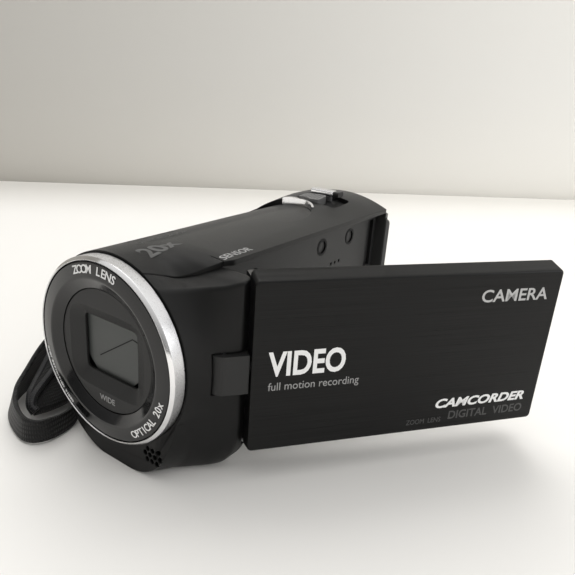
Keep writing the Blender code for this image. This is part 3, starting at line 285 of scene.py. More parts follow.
def loft(name, rings, finish=None, closed=True):
    """A skin through rings of points that all have the same count, closed at both ends."""
    builder = bmesh.new()
    rows = [[builder.verts.new(point) for point in ring] for ring in rings]
    for near, far in zip(rows, rows[1:]):
        for i in range(len(near)):
            j = (i + 1) % len(near)
            builder.faces.new((near[i], near[j], far[j], far[i]))
    if closed:
        builder.faces.new(rows[0])
        builder.faces.new(rows[-1])
    return make(name, builder, finish)


def prism(name, outline, low, high, axis="z", finish=None):
    orders = {
        "x": lambda a, b, c: (c, a, b),
        "y": lambda a, b, c: (a, c, b),
        "z": lambda a, b, c: (a, b, c),
    }
    order = orders[axis]
    rings = [[order(a, b, level) for a, b in outline] for level in (low, high)]
    return loft(name, rings, finish)


def circle(centre, radius, count=48):
    angles = [2 * pi * i / count for i in range(count)]
    return [(centre[0] + radius * cos(a), centre[1] + radius * sin(a)) for a in angles]


def rounded_rectangle(low, high, radius, steps=8):
    corners = [
        (high[0] - radius, high[1] - radius, 0.0),
        (low[0] + radius, high[1] - radius, 0.5 * pi),
        (low[0] + radius, low[1] + radius, pi),
        (high[0] - radius, low[1] + radius, 1.5 * pi),
    ]
    outline = []
    for centre_a, centre_b, start in corners:
        for i in range(steps + 1):
            angle = start + 0.5 * pi * i / steps
            outline.append((centre_a + radius * cos(angle), centre_b + radius * sin(angle)))
    return outline


def box(name, low, high, finish=None):
    outline = [(low[0], low[1]), (high[0], low[1]), (high[0], high[1]), (low[0], high[1])]
    return prism(name, outline, low[2], high[2], "z", finish)


def turned(name, profile, finish, count=144):
    """A closed profile of (radius, depth) pairs turned round the lens axis."""
    rings = []
    for i in range(count):
        angle = 2 * pi * i / count
        rings.append([(r * cos(angle), along(d), above(r * sin(angle))) for r, d in profile])
    builder = bmesh.new()
    rows = [[builder.verts.new(point) for point in ring] for ring in rings]
    for i in range(count):
        near, far = rows[i], rows[(i + 1) % count]
        for k in range(len(profile)):
            n = (k + 1) % len(profile)
            builder.faces.new((near[k], far[k], far[n], near[n]))
    item = make(name, builder, finish)
    smooth(item, 28)
    return item


def arc_corner(a, corner, b, radius, steps=5):
    """Points that round one corner of a profile."""
    a, corner, b = (np.array(p, float) for p in (a, corner, b))
    to_a = (a - corner) / np.linalg.norm(a - corner)
    to_b = (b - corner) / np.linalg.norm(b - corner)
    start, end = corner + to_a * radius, corner + to_b * radius
    points = []
    for i in range(steps + 1):
        t = i / steps
        points.append(tuple((1 - t) ** 2 * start + 2 * t * (1 - t) * corner + t**2 * end))
    return points


def smooth(item, angle=30, weighted=False):
    item.data.shade_smooth()
    item.data.set_sharp_from_angle(angle=radians(angle))
    if weighted:
        modifier = item.modifiers.new("weighted", "WEIGHTED_NORMAL")
        modifier.keep_sharp = True


def combine(target, others, operation):
    """One Boolean for each other object, applied at once. The other objects are removed."""
    for other in others:
        modifier = target.modifiers.new("boolean", "BOOLEAN")
        modifier.operation = operation
        modifier.solver = "MANIFOLD"
        modifier.object = other
    depsgraph = bpy.context.evaluated_depsgraph_get()
    result = bpy.data.meshes.new_from_object(target.evaluated_get(depsgraph))
    finish = target.data.materials[0] if target.data.materials else None
    target.modifiers.clear()
    result.materials.clear()
    if finish:
        result.materials.append(finish)
    result.polygons.foreach_set("material_index", [0] * len(result.polygons))
    target.data = result
    for other in others:
        bpy.data.objects.remove(other)
    return target


def cut(target, *cutters):
    return combine(target, cutters, "DIFFERENCE")


def keep(target, region):
    return combine(target, [region], "INTERSECT")


def duplicate(item, name, finish=None):
    copy = item.copy()
    copy.data = item.data.copy()
    copy.name = name
    if finish:
        copy.data.materials.clear()
        copy.data.materials.append(finish)
    bpy.context.scene.collection.objects.link(copy)
    return copy


def smooth_curve(points, steps):
    """Points on a Catmull-Rom curve through the given ones."""
    path = [np.array(p, float) for p in points]
    path = [2 * path[0] - path[1]] + path + [2 * path[-1] - path[-2]]
    result = []
    for a, b, c, d in zip(path, path[1:], path[2:], path[3:]):
        for i in range(steps):
            t = i / steps
            result.append(
                0.5 * (2 * b + (c - a) * t + (2 * a - 5 * b + 4 * c - d) * t**2
                        + (3 * b - a - 3 * c + d) * t**3)
            )
    result.append(path[-2])
    return result


# ---------------------------------------------------------------- casing

# One row for each cross-section of the body, in millimetres: its depth; the seam between top cover and
# front shell (x, height) and the deck edge above it; the crest height of the flare; how far the side
# has flared from the barrel's circle to its full reach; where the flat base starts and ends; and the
# heights of the top line and of the crown beside it.
SECTION_NAMES = (
    "depth", "seam_x", "seam", "deck", "crest", "flare", "foot", "heel", "top", "crown",
)
SECTIONS = (
    (3.1, 9.6, 20.30, 20.40, 18.0, 0.00, 6.0, -2.0, 22.5, 22.5),
    (4.5, 10.1, 20.00, 20.12, 17.6, 0.08, 9.0, -5.0, 22.5, 22.5),
    (7.0, 11.3, 19.30, 19.45, 17.7, 0.25, 12.5, -8.0, 22.5, 22.5),
    (9.5, 13.0, 18.60, 18.90, 18.3, 0.50, 14.8, -10.0, 22.5, 22.6),
    (12.0, 15.6, 19.20, 19.90, 19.4, 0.84, 16.6, -11.5, 22.5, 22.8),
    (14.0, 17.8, 20.20, 21.20, 20.6, 1.00, 17.3, -12.0, 22.5, 23.1),
    (17.0, 19.9, 20.95, 22.30, 20.9, 1.00, 17.3, -12.0, 22.5, 23.5),
    (19.0, 20.85, 20.95, 22.45, 20.7, 1.00, 17.3, -12.0, 22.5, 23.7),
    (50.0, 20.85, 20.95, 22.45, 20.7, 1.00, 17.3, -12.0, 22.6, 24.2),
    (63.0, 20.85, 20.95, 22.45, 20.7, 1.00, 17.3, -12.0, 23.2, 24.9),
    (73.0, 20.85, 20.95, 22.45, 20.7, 1.00, 17.3, -12.0, 24.4, 26.4),
    (84.0, 20.85, 20.95, 22.45, 20.7, 1.00, 17.3, -12.0, 25.4, 27.4),
    (92.0, 20.85, 20.95, 22.40, 20.7, 1.00, 17.3, -12.0, 25.2, 27.0),
    (95.0, 20.4, 20.40, 21.80, 20.2, 1.00, 17.3, -12.0, 24.6, 26.2),
    (98.5, 17.6, 17.40, 18.40, 16.9, 1.00, 14.0, -11.5, 23.2, 23.4),
)
LOW_TOP = 22.6
LOW_CROWN = 24.2
LIP_REACH = 21.8
REAR_TUCK = 2.4
REAR_CHAMFER = 2.6
CREST_RADIUS = 0.9 * MM
INNER_REACH = BAY_FLOOR_X - WALL - 0.4 * MM
SIDE_STEPS = 16


def monotone(xs, ys, at):
    """A smooth curve through (xs, ys) with no overshoot, read at one place."""
    k = int(np.clip(np.searchsorted(xs, at) - 1, 0, len(xs) - 2))
    slopes = np.diff(ys) / np.diff(xs)
    tangents = np.zeros(len(xs))
    tangents[0], tangents[-1] = slopes[0], slopes[-1]
    for i in range(1, len(xs) - 1):
        a, b = slopes[i - 1], slopes[i]
        tangents[i] = 0.0 if a * b <= 0 else 2 * a * b / (a + b)
    h = xs[k + 1] - xs[k]
    t = (at - xs[k]) / h
    return (
        ys[k] * (1 + 2 * t) * (1 - t) ** 2
        + tangents[k] * h * t * (1 - t) ** 2
        + ys[k + 1] * t * t * (3 - 2 * t)
        - tangents[k + 1] * h * t * t * (1 - t)
    )


def section_values(depth, low=False, drop=0.0):
    """The section at a depth in millimetres. The low form has no hump; a drop lowers the deck's edge."""
    table = np.array(SECTIONS)
    values = {"depth": depth * MM}
    for column, name in enumerate(SECTION_NAMES[1:], 1):
        value = monotone(table[:, 0], table[:, column], depth)
        if low and name == "top":
            value = min(value, LOW_TOP)
        if low and name == "crown":
            value = min(value, LOW_CROWN)
        if name in ("seam", "deck", "crest"):
            value -= drop
        values[name] = value if name == "flare" else value * MM
    blend = np.clip((depth - 17.6) / 0.6, 0.0, 1.0)
    past = max(depth - BAY_END / MM, 0.0)
    tuck = REAR_TUCK * (past / 5.9) ** 2
    if depth > BAY_END / MM:
        tuck += REAR_CHAMFER * max(1.0 - past / 3.6, 0.0)
    values["side"] = ((1 - blend) * SIDE_REACH / MM + blend * LIP_REACH - tuck) * MM
    return values


def quarter(centre, reach, drop, power, start, end, steps):
    """Part of a superellipse, by its parameter angle."""
    points = []
    for i in range(steps + 1):
        angle = start + (end - start) * i / steps
        c, s = cos(angle), sin(angle)
        x = centre[0] + reach * copysign(abs(c) ** (2 / power), c)
        z = centre[1] + drop * copysign(abs(s) ** (2 / power), s)
        points.append((x, z))
    return points


def section_outline(v, inset=0.0):
    """The body's outline at one depth, as (x, height) pairs from the left side over the top."""
    radius = BARREL_RADIUS - inset
    base = -AXIS_HEIGHT + inset
    top = v["top"] - inset
    seam_x = v["seam_x"]

    def side(height):
        round_x = sqrt(max(radius**2 - height**2, 0.0))
        return round_x + (v["side"] - inset - round_x) * v["flare"]

    outline = quarter((0, 0), radius, top, 2.0, pi, 0.5 * pi, 30)
    deck = (seam_x - inset, v["deck"] - inset)
    crown = (0.5 * seam_x, v["crown"] - inset)
    for i in range(1, 16):
        t = i / 16
        x = 2 * t * (1 - t) * crown[0] + t**2 * deck[0]
        z = (1 - t) ** 2 * top + 2 * t * (1 - t) * crown[1] + t**2 * deck[1]
        outline.append((x, z))
    outline.append(deck)
    seam = (seam_x - inset + 0.02 * MM, v["seam"] - inset)
    crest = v["crest"] - inset
    shoulder = crest - CREST_RADIUS
    ledge = (side(crest) - CREST_RADIUS, crest + 0.15 * (seam[1] - crest))
    outline.append(seam)
    outline += arc_corner(ledge, (side(crest), crest), (side(shoulder), shoulder), CREST_RADIUS, 5)
    waist = -12.0 * MM
    for i in range(1, SIDE_STEPS):
        height = shoulder + (waist - shoulder) * i / SIDE_STEPS
        outline.append((side(height), height))
    foot = v["foot"]
    outline += quarter((foot, waist), side(waist) - foot, waist - base, 2.2, 0.0, -0.5 * pi, 18)
    heel = v["heel"]
    power = 2.2 - 0.05 * (heel / MM + 12.0)
    left = quarter((heel, 0), radius + heel, -base, power, -0.5 * pi, -pi, 26)
    return outline + left[:-1]


def chin_reach(height):
    """How far the chin below the lens stands forward of the shell beside it."""
    share = min(max((-height - 12.0 * MM) / (11.0 * MM), 0.0), 1.0)
    return 2.5 * MM * share * share * (3 - 2 * share)


def body_form(name, inset=0.0, reach=None, low=False, drop=0.0):
    """The outer form of the whole body, or the hollow inside it when an inset and a reach are given."""
    first, last = SECTIONS[0][0], SECTIONS[-1][0]
    depths = list(np.arange(first, 20.0, 0.5)) + list(np.arange(20.0, 90.0, 2.5)) + list(
        np.arange(90.0, last, 0.5)
    )
    depths.append(last)
    rings = []
    for depth in depths:
        v = section_values(depth, low, drop)
        place = v["depth"]
        outline = section_outline(v, inset)
        if reach is not None:
            outline = [(min(x, reach), z) for x, z in outline]
            place = min(max(place, 5.0 * MM), BODY_DEPTH - 2.6 * MM)
        fade = max(0.0, 1.0 - (depth - first) / 3.0)
        ring = []
        for x, z in outline:
            forward = chin_reach(z) * fade if reach is None else 0.0
            ring.append((x, along(place - forward), above(z)))
        rings.append(ring)
    if reach is not None:
        kept = [i for i, depth in enumerate(depths) if 5.0 < depth < BODY_DEPTH / MM - 2.6]
        rings = [rings[i] for i in kept]
    return loft(name, rings)


def top_cover_region(grow):
    """The plan area of the top cover, grown by a margin, as a solid above the seam."""
    depths = np.arange(SECTIONS[0][0], SHELL_SEAM / MM - 0.5, 0.5)
    right = [(section_values(d)["seam_x"] + grow, d * MM) for d in depths]
    left_x = -13.0 * MM - grow
    end = BAY_END - SEAM + grow
    inner_x = INNER_REACH + grow
    outline = [(left_x, along(-CUT)), (right[0][0], along(-CUT))]
    outline += [(x, along(depth)) for x, depth in right]
    outline += [(19.5 * MM + grow, along(SHELL_SEAM + grow)), (inner_x, along(SHELL_SEAM + grow))]
    outline += [(inner_x, along(end)), (left_x, along(end))]
    plan = prism("cover_plan", outline, above(10.0 * MM - grow), above(SKY))
    deck_low = (inner_x - 3.0 * MM, along(SHELL_SEAM + SEAM - grow), above(BAY_TOP - grow))
    deck = box("deck_plan", deck_low, (40.0 * MM, along(end), above(SKY)))
    return combine(plan, [deck], "UNION")


RING_SEAT = 22.15 * MM
BORE = 20.5 * MM


def lens_bores(shell):
    centre = (0, above(0))
    seat = prism("seat", circle(centre, RING_SEAT, 144), along(-CUT), along(3.0 * MM), "y")
    bore = prism("bore", circle(centre, BORE, 144), along(-CUT), along(7.0 * MM), "y")
    cut(shell, seat, bore)


MICROPHONE_PLACE = (14.1 * MM, -21.0 * MM)
MICROPHONE_HOLE = 0.62 * MM
MICROPHONE_PITCH = 1.55 * MM


def microphone_holes(front):
    x, z = MICROPHONE_PLACE
    holes = []
    for row, count in enumerate((3, 4, 3)):
        for i in range(count):
            across = x + (i - (count - 1) / 2) * MICROPHONE_PITCH
            up = above(z + (row - 1) * 0.87 * MICROPHONE_PITCH)
            holes.append(
                prism("hole", circle((across, up), MICROPHONE_HOLE, 20), along(-2 * MM), along(6 * MM), "y")
            )
    cut(front, *holes)


BLOCK_HALF = 4.6 * MM
NOTCH_CLEAR = 0.35 * MM
BLOCK_RADIUS = OUTER_FACE - 0.5 * MM


def hinge_seat(front):
    """The notch in the flare for the hinge block, and the flare's rounded rear edge."""
    y = along(HINGE_DEPTH)
    half = BLOCK_HALF + NOTCH_CLEAR
    radius = BLOCK_RADIUS + NOTCH_CLEAR
    far = HINGE_X + 2 * CUT
    well = prism("well", circle((HINGE_X, y), radius, 64), above(-half), above(half))
    sweep = box("sweep", (HINGE_X - radius, y, above(-half)), (far, along(SHELL_SEAM + CUT), above(half)))
    slot = box("slot", (HINGE_X, y - radius, above(-half)), (far, y + MM, above(half)))
    cut(front, well, sweep, slot)
    corner = prism("corner", circle((HINGE_X, y), HINGE_LEAD - 0.35 * MM, 160), -CUT, above(SKY))
    outside = box("outside", (HINGE_X, y, -CUT), (far, along(SHELL_SEAM + CUT), above(SKY)))
    cut(outside, corner)
    cut(front, outside)


BUTTON_X = (0.0 * MM, 8.0 * MM)
BUTTON_DEPTH = (72.0 * MM, 77.4 * MM)
LEVER_X = (1.6 * MM, 11.2 * MM)
LEVER_DEPTH = (78.2 * MM, 81.2 * MM)
LEVER_TOP = 27.7 * MM
LEVER_THICKNESS = 1.6 * MM
LEVER_TRAVEL = 1.5 * MM
SCOOP_CENTRE = (-3.9 * MM, 57.3 * MM)
SCOOP_RADIUS = 16.25 * MM
TRIM_WIDTH = 0.7 * MM
TRIM_ANGLES = (radians(37), radians(96))
TRIM_BASE = 22.0 * MM


def trim_outline(grow):
    inner = SCOOP_RADIUS - grow
    outer = SCOOP_RADIUS + TRIM_WIDTH + grow
    spread = grow / SCOOP_RADIUS
    angles = np.linspace(TRIM_ANGLES[0] - spread, TRIM_ANGLES[1] + spread, 72)
    cx, cy = SCOOP_CENTRE[0], along(SCOOP_CENTRE[1])
    outline = [(cx + outer * cos(a), cy + outer * sin(a)) for a in angles]
    return outline + [(cx + inner * cos(a), cy + inner * sin(a)) for a in reversed(angles)]


def trim_disc(name, grow):
    """Everything in front of the trim arc, grown by a margin."""
    centre = (SCOOP_CENTRE[0], along(SCOOP_CENTRE[1]))
    outline = circle(centre, SCOOP_RADIUS + TRIM_WIDTH + grow, 180)
    return prism(name, outline, above(17.0 * MM), above(SKY))


def pad_rectangle(spans_x, spans_depth, grow, radius):
    low = (spans_x[0] - grow, along(spans_depth[0] - grow))
    high = (spans_x[1] + grow, along(spans_depth[1] + grow))
    return rounded_rectangle(low, high, radius, 6)


def shape_top(cover):
    """Finger scoop, control tray, button hole and trim groove in the top cover."""
    outline = circle((SCOOP_CENTRE[0], along(SCOOP_CENTRE[1])), SCOOP_RADIUS, 180)
    scoop = prism("scoop", outline, above(TRIM_BASE - CUT), above(SKY))
    cut(scoop, body_form("low_form", low=True))
    cut(cover, scoop)
    span_x = (BUTTON_X[0] - 1.2 * MM, LEVER_X[1] + LEVER_TRAVEL + 0.8 * MM)
    tray_outline = pad_rectangle(span_x, (BUTTON_DEPTH[0], LEVER_DEPTH[1] + 0.2 * MM), 0.2 * MM, 1.4 * MM)
    tray = prism("tray", tray_outline, above(TRIM_BASE - CUT), above(SKY))
    cut(tray, body_form("tray_floor", 1.2 * MM), trim_disc("tray_limit", 0.15 * MM))
    cut(cover, tray)
    hole = prism(
        "button_hole", pad_rectangle(BUTTON_X, BUTTON_DEPTH, 0.25 * MM, 1.2 * MM), above(17.7 * MM),
        above(SKY)
    )
    cut(hole, trim_disc("hole_limit", 0.05 * MM))
    groove = prism("trim_groove", trim_outline(0.12 * MM), above(TRIM_BASE - 0.2 * MM), above(SKY))
    cut(cover, hole, groove)


def casing(finish, base_finish, rear_finish):
    """The five outer shells, cut from one fine form."""
    form = body_form("form")
    hollow = body_form("hollow", WALL, INNER_REACH, low=True)
    wide = 60.0 * MM
    start, end = SHELL_SEAM + SEAM, BAY_END - SEAM
    bay_bottom = -20.6 * MM

    front = duplicate(form, "front_shell_skin", finish)
    cut(front, duplicate(hollow, "hollow_front"), top_cover_region(SEAM))
    keep(front, box("front_zone", (-wide, along(-CUT), -wide), (wide, along(SHELL_SEAM), wide)))
    lens_bores(front)
    microphone_holes(front)
    hinge_seat(front)
    slot_low = (-BARREL_RADIUS - CUT, along(7.9 * MM), above(-1.3 * MM))
    cut(front, box("switch_slot", slot_low, (-19.1 * MM, along(11.1 * MM), above(7.3 * MM))))

    cover = duplicate(form, "top_cover_skin", finish)
    keep(cover, top_cover_region(0.0))
    cut(cover, duplicate(hollow, "hollow_cover"))
    lens_bores(cover)
    shape_top(cover)

    grip = duplicate(form, "grip_shell_skin", finish)
    cut(grip, duplicate(hollow, "hollow_grip"), top_cover_region(SEAM))
    keep(grip, box("grip_zone", (-wide, along(start), above(bay_bottom + SEAM)), (0, along(end), wide)))

    base = duplicate(form, "base_plate_skin", base_finish)
    cut(base, duplicate(hollow, "hollow_base"))
    keep(base, box("base_zone", (-wide, along(start), -wide), (wide, along(end), above(bay_bottom))))
    base_openings(base)

    rear = body_form("rear_cover_skin", drop=1.3)
    rear.data.materials.append(rear_finish)
    cut(rear, hollow)
    keep(rear, box("rear_zone", (-wide, along(BAY_END), -wide), (wide, along(BODY_DEPTH + CUT), wide)))
    start_outline = rounded_rectangle(
        (-21.0 * MM, above(-1.7 * MM)), (-17.0 * MM, above(7.7 * MM)), 1.9 * MM
    )
    socket_low = (-5.7 * MM, along(BODY_DEPTH - CUT), above(-15.2 * MM))
    cut(
        rear,
        prism("start_hole", start_outline, along(BAY_END - MM), along(BODY_DEPTH + CUT), "y"),
        box("terminal_hole", socket_low, (5.7 * MM, along(BODY_DEPTH + CUT), above(-8.8 * MM))),
    )
    bpy.data.objects.remove(form)

    for skin in (front, cover, grip, base, rear):
        smooth(skin, 24, weighted=True)
        take_over(skin.name.removesuffix("_skin"))
        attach(skin, "camera")
    return front, cover, grip, base, rear


def base_openings(base):
    floor = above(-AXIS_HEIGHT)
    nut = prism("nut_hole", circle((0, along(25 * MM)), 4.6 * MM), floor - CUT, floor + CUT)
    latch = box(
        "latch_hole", (-5.2 * MM, along(82.8 * MM), floor - CUT), (8.2 * MM, along(88.2 * MM), floor + CUT)
    )
    holes = [nut, latch]
    for x, depth in ((-7.0, 70.0), (13.0, 38.0)):
        place = (x * MM, along(depth * MM))
        holes.append(prism("screw_seat", circle(place, 1.8 * MM, 32), floor - CUT, floor + 1.2 * MM))
        holes.append(prism("screw_hole", circle(place, 1.3 * MM, 32), floor - CUT, floor + 2 * CUT))
    cut(base, *holes)


# ---------------------------------------------------------------- lens end

RING_RADIUS = 22.0 * MM
RING_INNER = 21.1 * MM
PLATE_RADIUS = 14.6 * MM

# The window's funnel in millimetres: depth, half width, lowest and highest point, squareness
FUNNEL = (
    (0.3, 12.45, -10.45, 9.85, 5.3),
    (0.5, 12.25, -10.25, 9.65, 5.3),
    (0.65, 11.95, -9.95, 9.35, 5.3),
    (2.1, 8.7, -7.1, 6.8, 14.0),
    (3.0, 8.7, -7.1, 6.8, 14.0),
)
MEETING_LINE = ((-5.0, -3.3), (6.1, 4.2), (8.6, 3.75))


def lens_trim(chrome, ring_side, gloss, plate_finish):
    """Bright bevelled ring, sloped black bezel and the window plate."""
    outer, inner = RING_RADIUS, RING_INNER
    lip = [(inner, -0.55 * MM)]
    bevel = arc_corner((inner, 0.0), (21.2 * MM, -0.8 * MM), (outer, 0.0), 0.22 * MM, 4)
    shoulder = arc_corner((21.2 * MM, -0.8 * MM), (outer, -0.05 * MM), (outer, 2.8 * MM), 0.18 * MM, 4)
    profile = lip + bevel + shoulder + [(outer, 2.8 * MM), (inner, 2.8 * MM)]
    ring = turned("lens_ring_skin", profile, chrome, 192)
    ring.data.materials.append(ring_side)
    for face in ring.data.polygons:
        radius = hypot(face.center.x, face.center.z - above(0))
        if abs(radius - outer) < 0.05 * MM:
            face.material_index = 1
    take_over("lens_ring")

    edge, bowl = 20.85 * MM, 14.8 * MM
    front = arc_corner((bowl, 0.3 * MM), (17.35 * MM, -1.02 * MM), (edge, -0.52 * MM), 0.4 * MM, 6)
    rim = arc_corner((17.35 * MM, -1.02 * MM), (edge, -0.5 * MM), (edge, 2.4 * MM), 0.25 * MM, 4)
    bezel = turned(
        "lens_bezel_skin", front + rim + [(edge, 2.4 * MM), (bowl, 2.4 * MM), (bowl, 0.35 * MM)], gloss, 192
    )
    take_over("lens_bezel")

    plate = prism(
        "window_plate_skin", circle((0, above(0)), PLATE_RADIUS, 144), along(0.5 * MM), along(2.7 * MM),
        "y", plate_finish
    )
    rings = []
    for depth, reach, low, high, power in FUNNEL:
        middle, half = (high + low) / 2 * MM, (high - low) / 2 * MM
        outline = quarter((0, middle), reach * MM, half, power, 0.0, 2 * pi, 96)[:-1]
        rings.append([(x, along(depth * MM), above(z)) for x, z in outline])
    cut(plate, loft("funnel", rings))
    smooth(plate, 20, weighted=True)
    take_over("window_plate")
    for item in (ring, bezel, plate):
        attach(item, "camera")


def shutter_face(blade_finish, line_finish):
    """A face on the upper blade that lies flush with the lower one, and the dark line where they meet."""
    half, top = 9.0 * MM, 7.2 * MM
    edge = [(-half, MEETING_LINE[0][1] * MM), *[(x * MM, z * MM) for x, z in MEETING_LINE]]
    outline = [(x, above(z + 0.03 * MM)) for x, z in edge] + [(half, above(top)), (-half, above(top))]
    face = prism("upper_face", outline, along(3.0 * MM), along(3.8 * MM), "y", blade_finish)
    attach(face, "upper_blade")
    scribe = polyline("shutter_line", MEETING_LINE, 0.13 * MM, 2.93 * MM, line_finish)
    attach(scribe, "lower_blade")


def polyline(name, points, half_width, depth, finish):
    """A thin dark line standing just in front of the blades."""
    path = [np.array(p) * MM for p in points]
    upper, lower = [], []
    for i, point in enumerate(path):
        before, after = path[max(i - 1, 0)], path[min(i + 1, len(path) - 1)]
        forward = (after - before) / np.linalg.norm(after - before)
        across = np.array((-forward[1], forward[0])) * half_width
        upper.append(tuple(point + across))
        lower.append(tuple(point - across))
    outline = [(x, above(z)) for x, z in upper + lower[::-1]]
    return prism(name, outline, along(depth), along(depth + 0.05 * MM), "y", finish)


# ---------------------------------------------------------------- screen


def open_screen(*items):
    """Turns pieces that were made in the closed screen's frame to where the open screen holds them."""
    turn = Matrix.Translation((HINGE_X, along(HINGE_DEPTH), above(0))) @ Matrix.Rotation(
        -OPEN_ANGLE, 4, "Z"
    )
    for item in items:
        item.data.transform(turn @ item.matrix_basis)
        item.matrix_basis = Matrix.Identity(4)


def screen_cover(finish):
    """The panel's outer cover: a nearly flat face, a small round edge and drafted sides."""
    low = SCREEN_CENTRE_HEIGHT - SCREEN_HEIGHT / 2
    high = SCREEN_CENTRE_HEIGHT + SCREEN_HEIGHT / 2
    start, end = HINGE_LEAD, HINGE_LEAD + SCREEN_LENGTH
    split = OUTER_FACE - COVER_DEPTH
    profile = (
        (0.0, -0.32), (0.03, -0.14), (0.1, 0.02), (0.22, 0.15), (0.38, 0.24), (0.9, 0.42), (4.28, 1.4),
        (4.4, 1.28)
    )
    rings = []
    for inward, grow in profile:
        x = OUTER_FACE - inward * MM
        grow = grow * MM
        ends = min(grow, 0.25 * MM)
        outline = rounded_rectangle(
            (start - min(ends, 0.0), low - grow), (end + ends, high + grow), 1.0 * MM, 6
        )
        rings.append([(x, y, z) for y, z in outline])
    cover = loft("lcd_cover_skin", rings, finish)
    pocket_low = (split - CUT, 17.0 * MM, low + 1.4 * MM)
    pocket = box("pocket", pocket_low, (OUTER_FACE - 1.4 * MM, end - 1.4 * MM, high - 1.4 * MM))
    bore = prism("bore", circle((split - 0.15 * MM, 0), 1.8 * MM, 32), HINGE_LEAD - CUT, 12.3 * MM, "y")
    cut(cover, pocket, bore)
    brush = cover.data.uv_layers.new(name="along_panel")
    for loop in cover.data.loops:
        point = cover.data.vertices[loop.vertex_index].co
        brush.data[loop.index].uv = (point.z, point.y)
    smooth(cover, 24, weighted=True)
    open_screen(cover)
    take_over("lcd_cover")
    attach(cover, "screen")
    return cover


# ---------------------------------------------------------------- lettering


def letters(name, text, size, finish, thickness=0.03 * MM, weight=0.0, spacing=1.0, shear=0.0):
    """Text as a mesh that lies in its own XY plane, centred."""
    curve = bpy.data.curves.new(name, "FONT")
    curve.body = text
    curve.size = size
    curve.extrude = thickness
    curve.offset = weight
    curve.space_character = spacing
    curve.shear = shear
    curve.align_x = "CENTER"
    curve.align_y = "CENTER"
    curve.resolution_u = 4
    source = bpy.data.objects.new(name + "_curve", curve)
    bpy.context.scene.collection.objects.link(source)
    depsgraph = bpy.context.evaluated_depsgraph_get()
    data = bpy.data.meshes.new_from_object(source.evaluated_get(depsgraph))
    bpy.data.objects.remove(source)
    data.materials.clear()
    data.materials.append(finish)
    item = bpy.data.objects.new(name, data)
    bpy.context.scene.collection.objects.link(item)
    return item


def fit_width(item, width):
    """Stretches lettering along its line to a width."""
    xs = [v.co.x for v in item.data.vertices]
    item.data.transform(Matrix.Diagonal((width / (max(xs) - min(xs)), 1, 1, 1)))


def merge(name, items):
    """One object from several meshes."""
    builder = bmesh.new()
    for item in items:
        data = item.data.copy()
        data.transform(item.matrix_basis)
        builder.from_mesh(data)
    data = bpy.data.meshes.new(name)
    builder.to_mesh(data)
    builder.free()
    for finish in items[0].data.materials:
        data.materials.append(finish)
    for item in items:
        bpy.data.objects.remove(item)
    merged = bpy.data.objects.new(name, data)
    bpy.context.scene.collection.objects.link(merged)
    return merged


PANEL_WORDS = (
    # name, text, left, right (along the panel), low, high, weight, shear, ink
    ("panel_word", "VIDEO", 9.2, 27.0, -0.9, 4.9, 0.22, 0.0, "white"),
    ("panel_line", "full motion recording", 9.3, 30.6, -4.2, -2.2, 0.0, 0.0, "grey"),
    ("panel_head", "CAMERA", 59.0, 77.2, 13.9, 17.0, 0.06, 0.0, "silver"),
    ("panel_kind", "CAMCORDER", 51.6, 77.0, -13.4, -11.0, 0.12, 0.25, "white"),
    ("panel_note", "DIGITAL  VIDEO", 56.0, 77.4, -16.9, -14.6, 0.05, 0.0, "dim"),
    ("panel_small", "ZOOM  LENS", 44.6, 54.0, -17.3, -15.9, 0.0, 0.0, "dim"),
)


def panel_lettering(inks):
    for name, text, left, right, low, high, weight, shear, colour in PANEL_WORDS:
        item = letters(name, text, (high - low) * MM * 1.38, inks[colour], weight=weight * MM, shear=shear)
        fit_width(item, (right - left) * MM)
        to_panel = Matrix(((0, 0, 1, 0), (1, 0, 0, 0), (0, 1, 0, 0), (0, 0, 0, 1)))
        place = Matrix.Translation((OUTER_FACE + 0.01 * MM, (left + right) / 2 * MM, (low + high) / 2 * MM))
        item.matrix_basis = place @ to_panel
        open_screen(item)
        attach(item, "screen")


def ring_text(name, text, radius, middle, size, finish, depth, slope, pitch, inward=False):
    """Letters one by one round the lens axis, with their tops outward, or inward along the lower half."""
    parts = []
    for i, letter in enumerate(text):
        if letter == " ":
            continue
        step = (i - (len(text) - 1) / 2) * pitch
        angle = middle + step if inward else middle - step
        part = letters(f"{name}_{i}", letter, size, finish, weight=0.04 * MM)
        turn = Matrix.Rotation(pi if inward else 0.0, 4, "Z")
        tilt = Matrix.Rotation(slope, 4, "X")
        stand = Matrix.Rotation(pi / 2, 4, "X")
        out = Matrix.Translation((0, 0, radius))
        spin = Matrix.Rotation(-(angle - pi / 2), 4, "Y")
        centre = Matrix.Translation((0, along(depth), above(0)))
        part.matrix_basis = centre @ spin @ out @ stand @ tilt @ turn
        parts.append(part)
    item = merge(name, parts)
    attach(item, "camera")
    return item


def front_lettering(inks):
    slope = -atan(0.5 / 3.5)
    ring_text(
        "bezel_head", "ZOOM LENS", 19.2 * MM, radians(93.5), 2.6 * MM, inks["white"], -0.83 * MM, slope,
        radians(4.7)
    )
    ring_text(
        "bezel_spec", "OPTICAL 20x", 19.2 * MM, radians(-37), 2.45 * MM, inks["white"], -0.83 * MM, slope,
        radians(4.1), True
    )
    ring_text(
        "bezel_note", "HIGH DEFINITION VIDEO", 20.0 * MM, radians(214.5), 1.0 * MM, inks["white"],
        -0.7 * MM, slope, radians(2.05), True
    )
    wide = letters("window_word", "WIDE", 2.0 * MM, inks["grey"], weight=0.02 * MM)
    wide.matrix_basis = Matrix.Translation((0, along(0.49 * MM), above(-12.1 * MM))) @ Matrix.Rotation(
        pi / 2, 4, "X"
    )
    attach(wide, "camera")


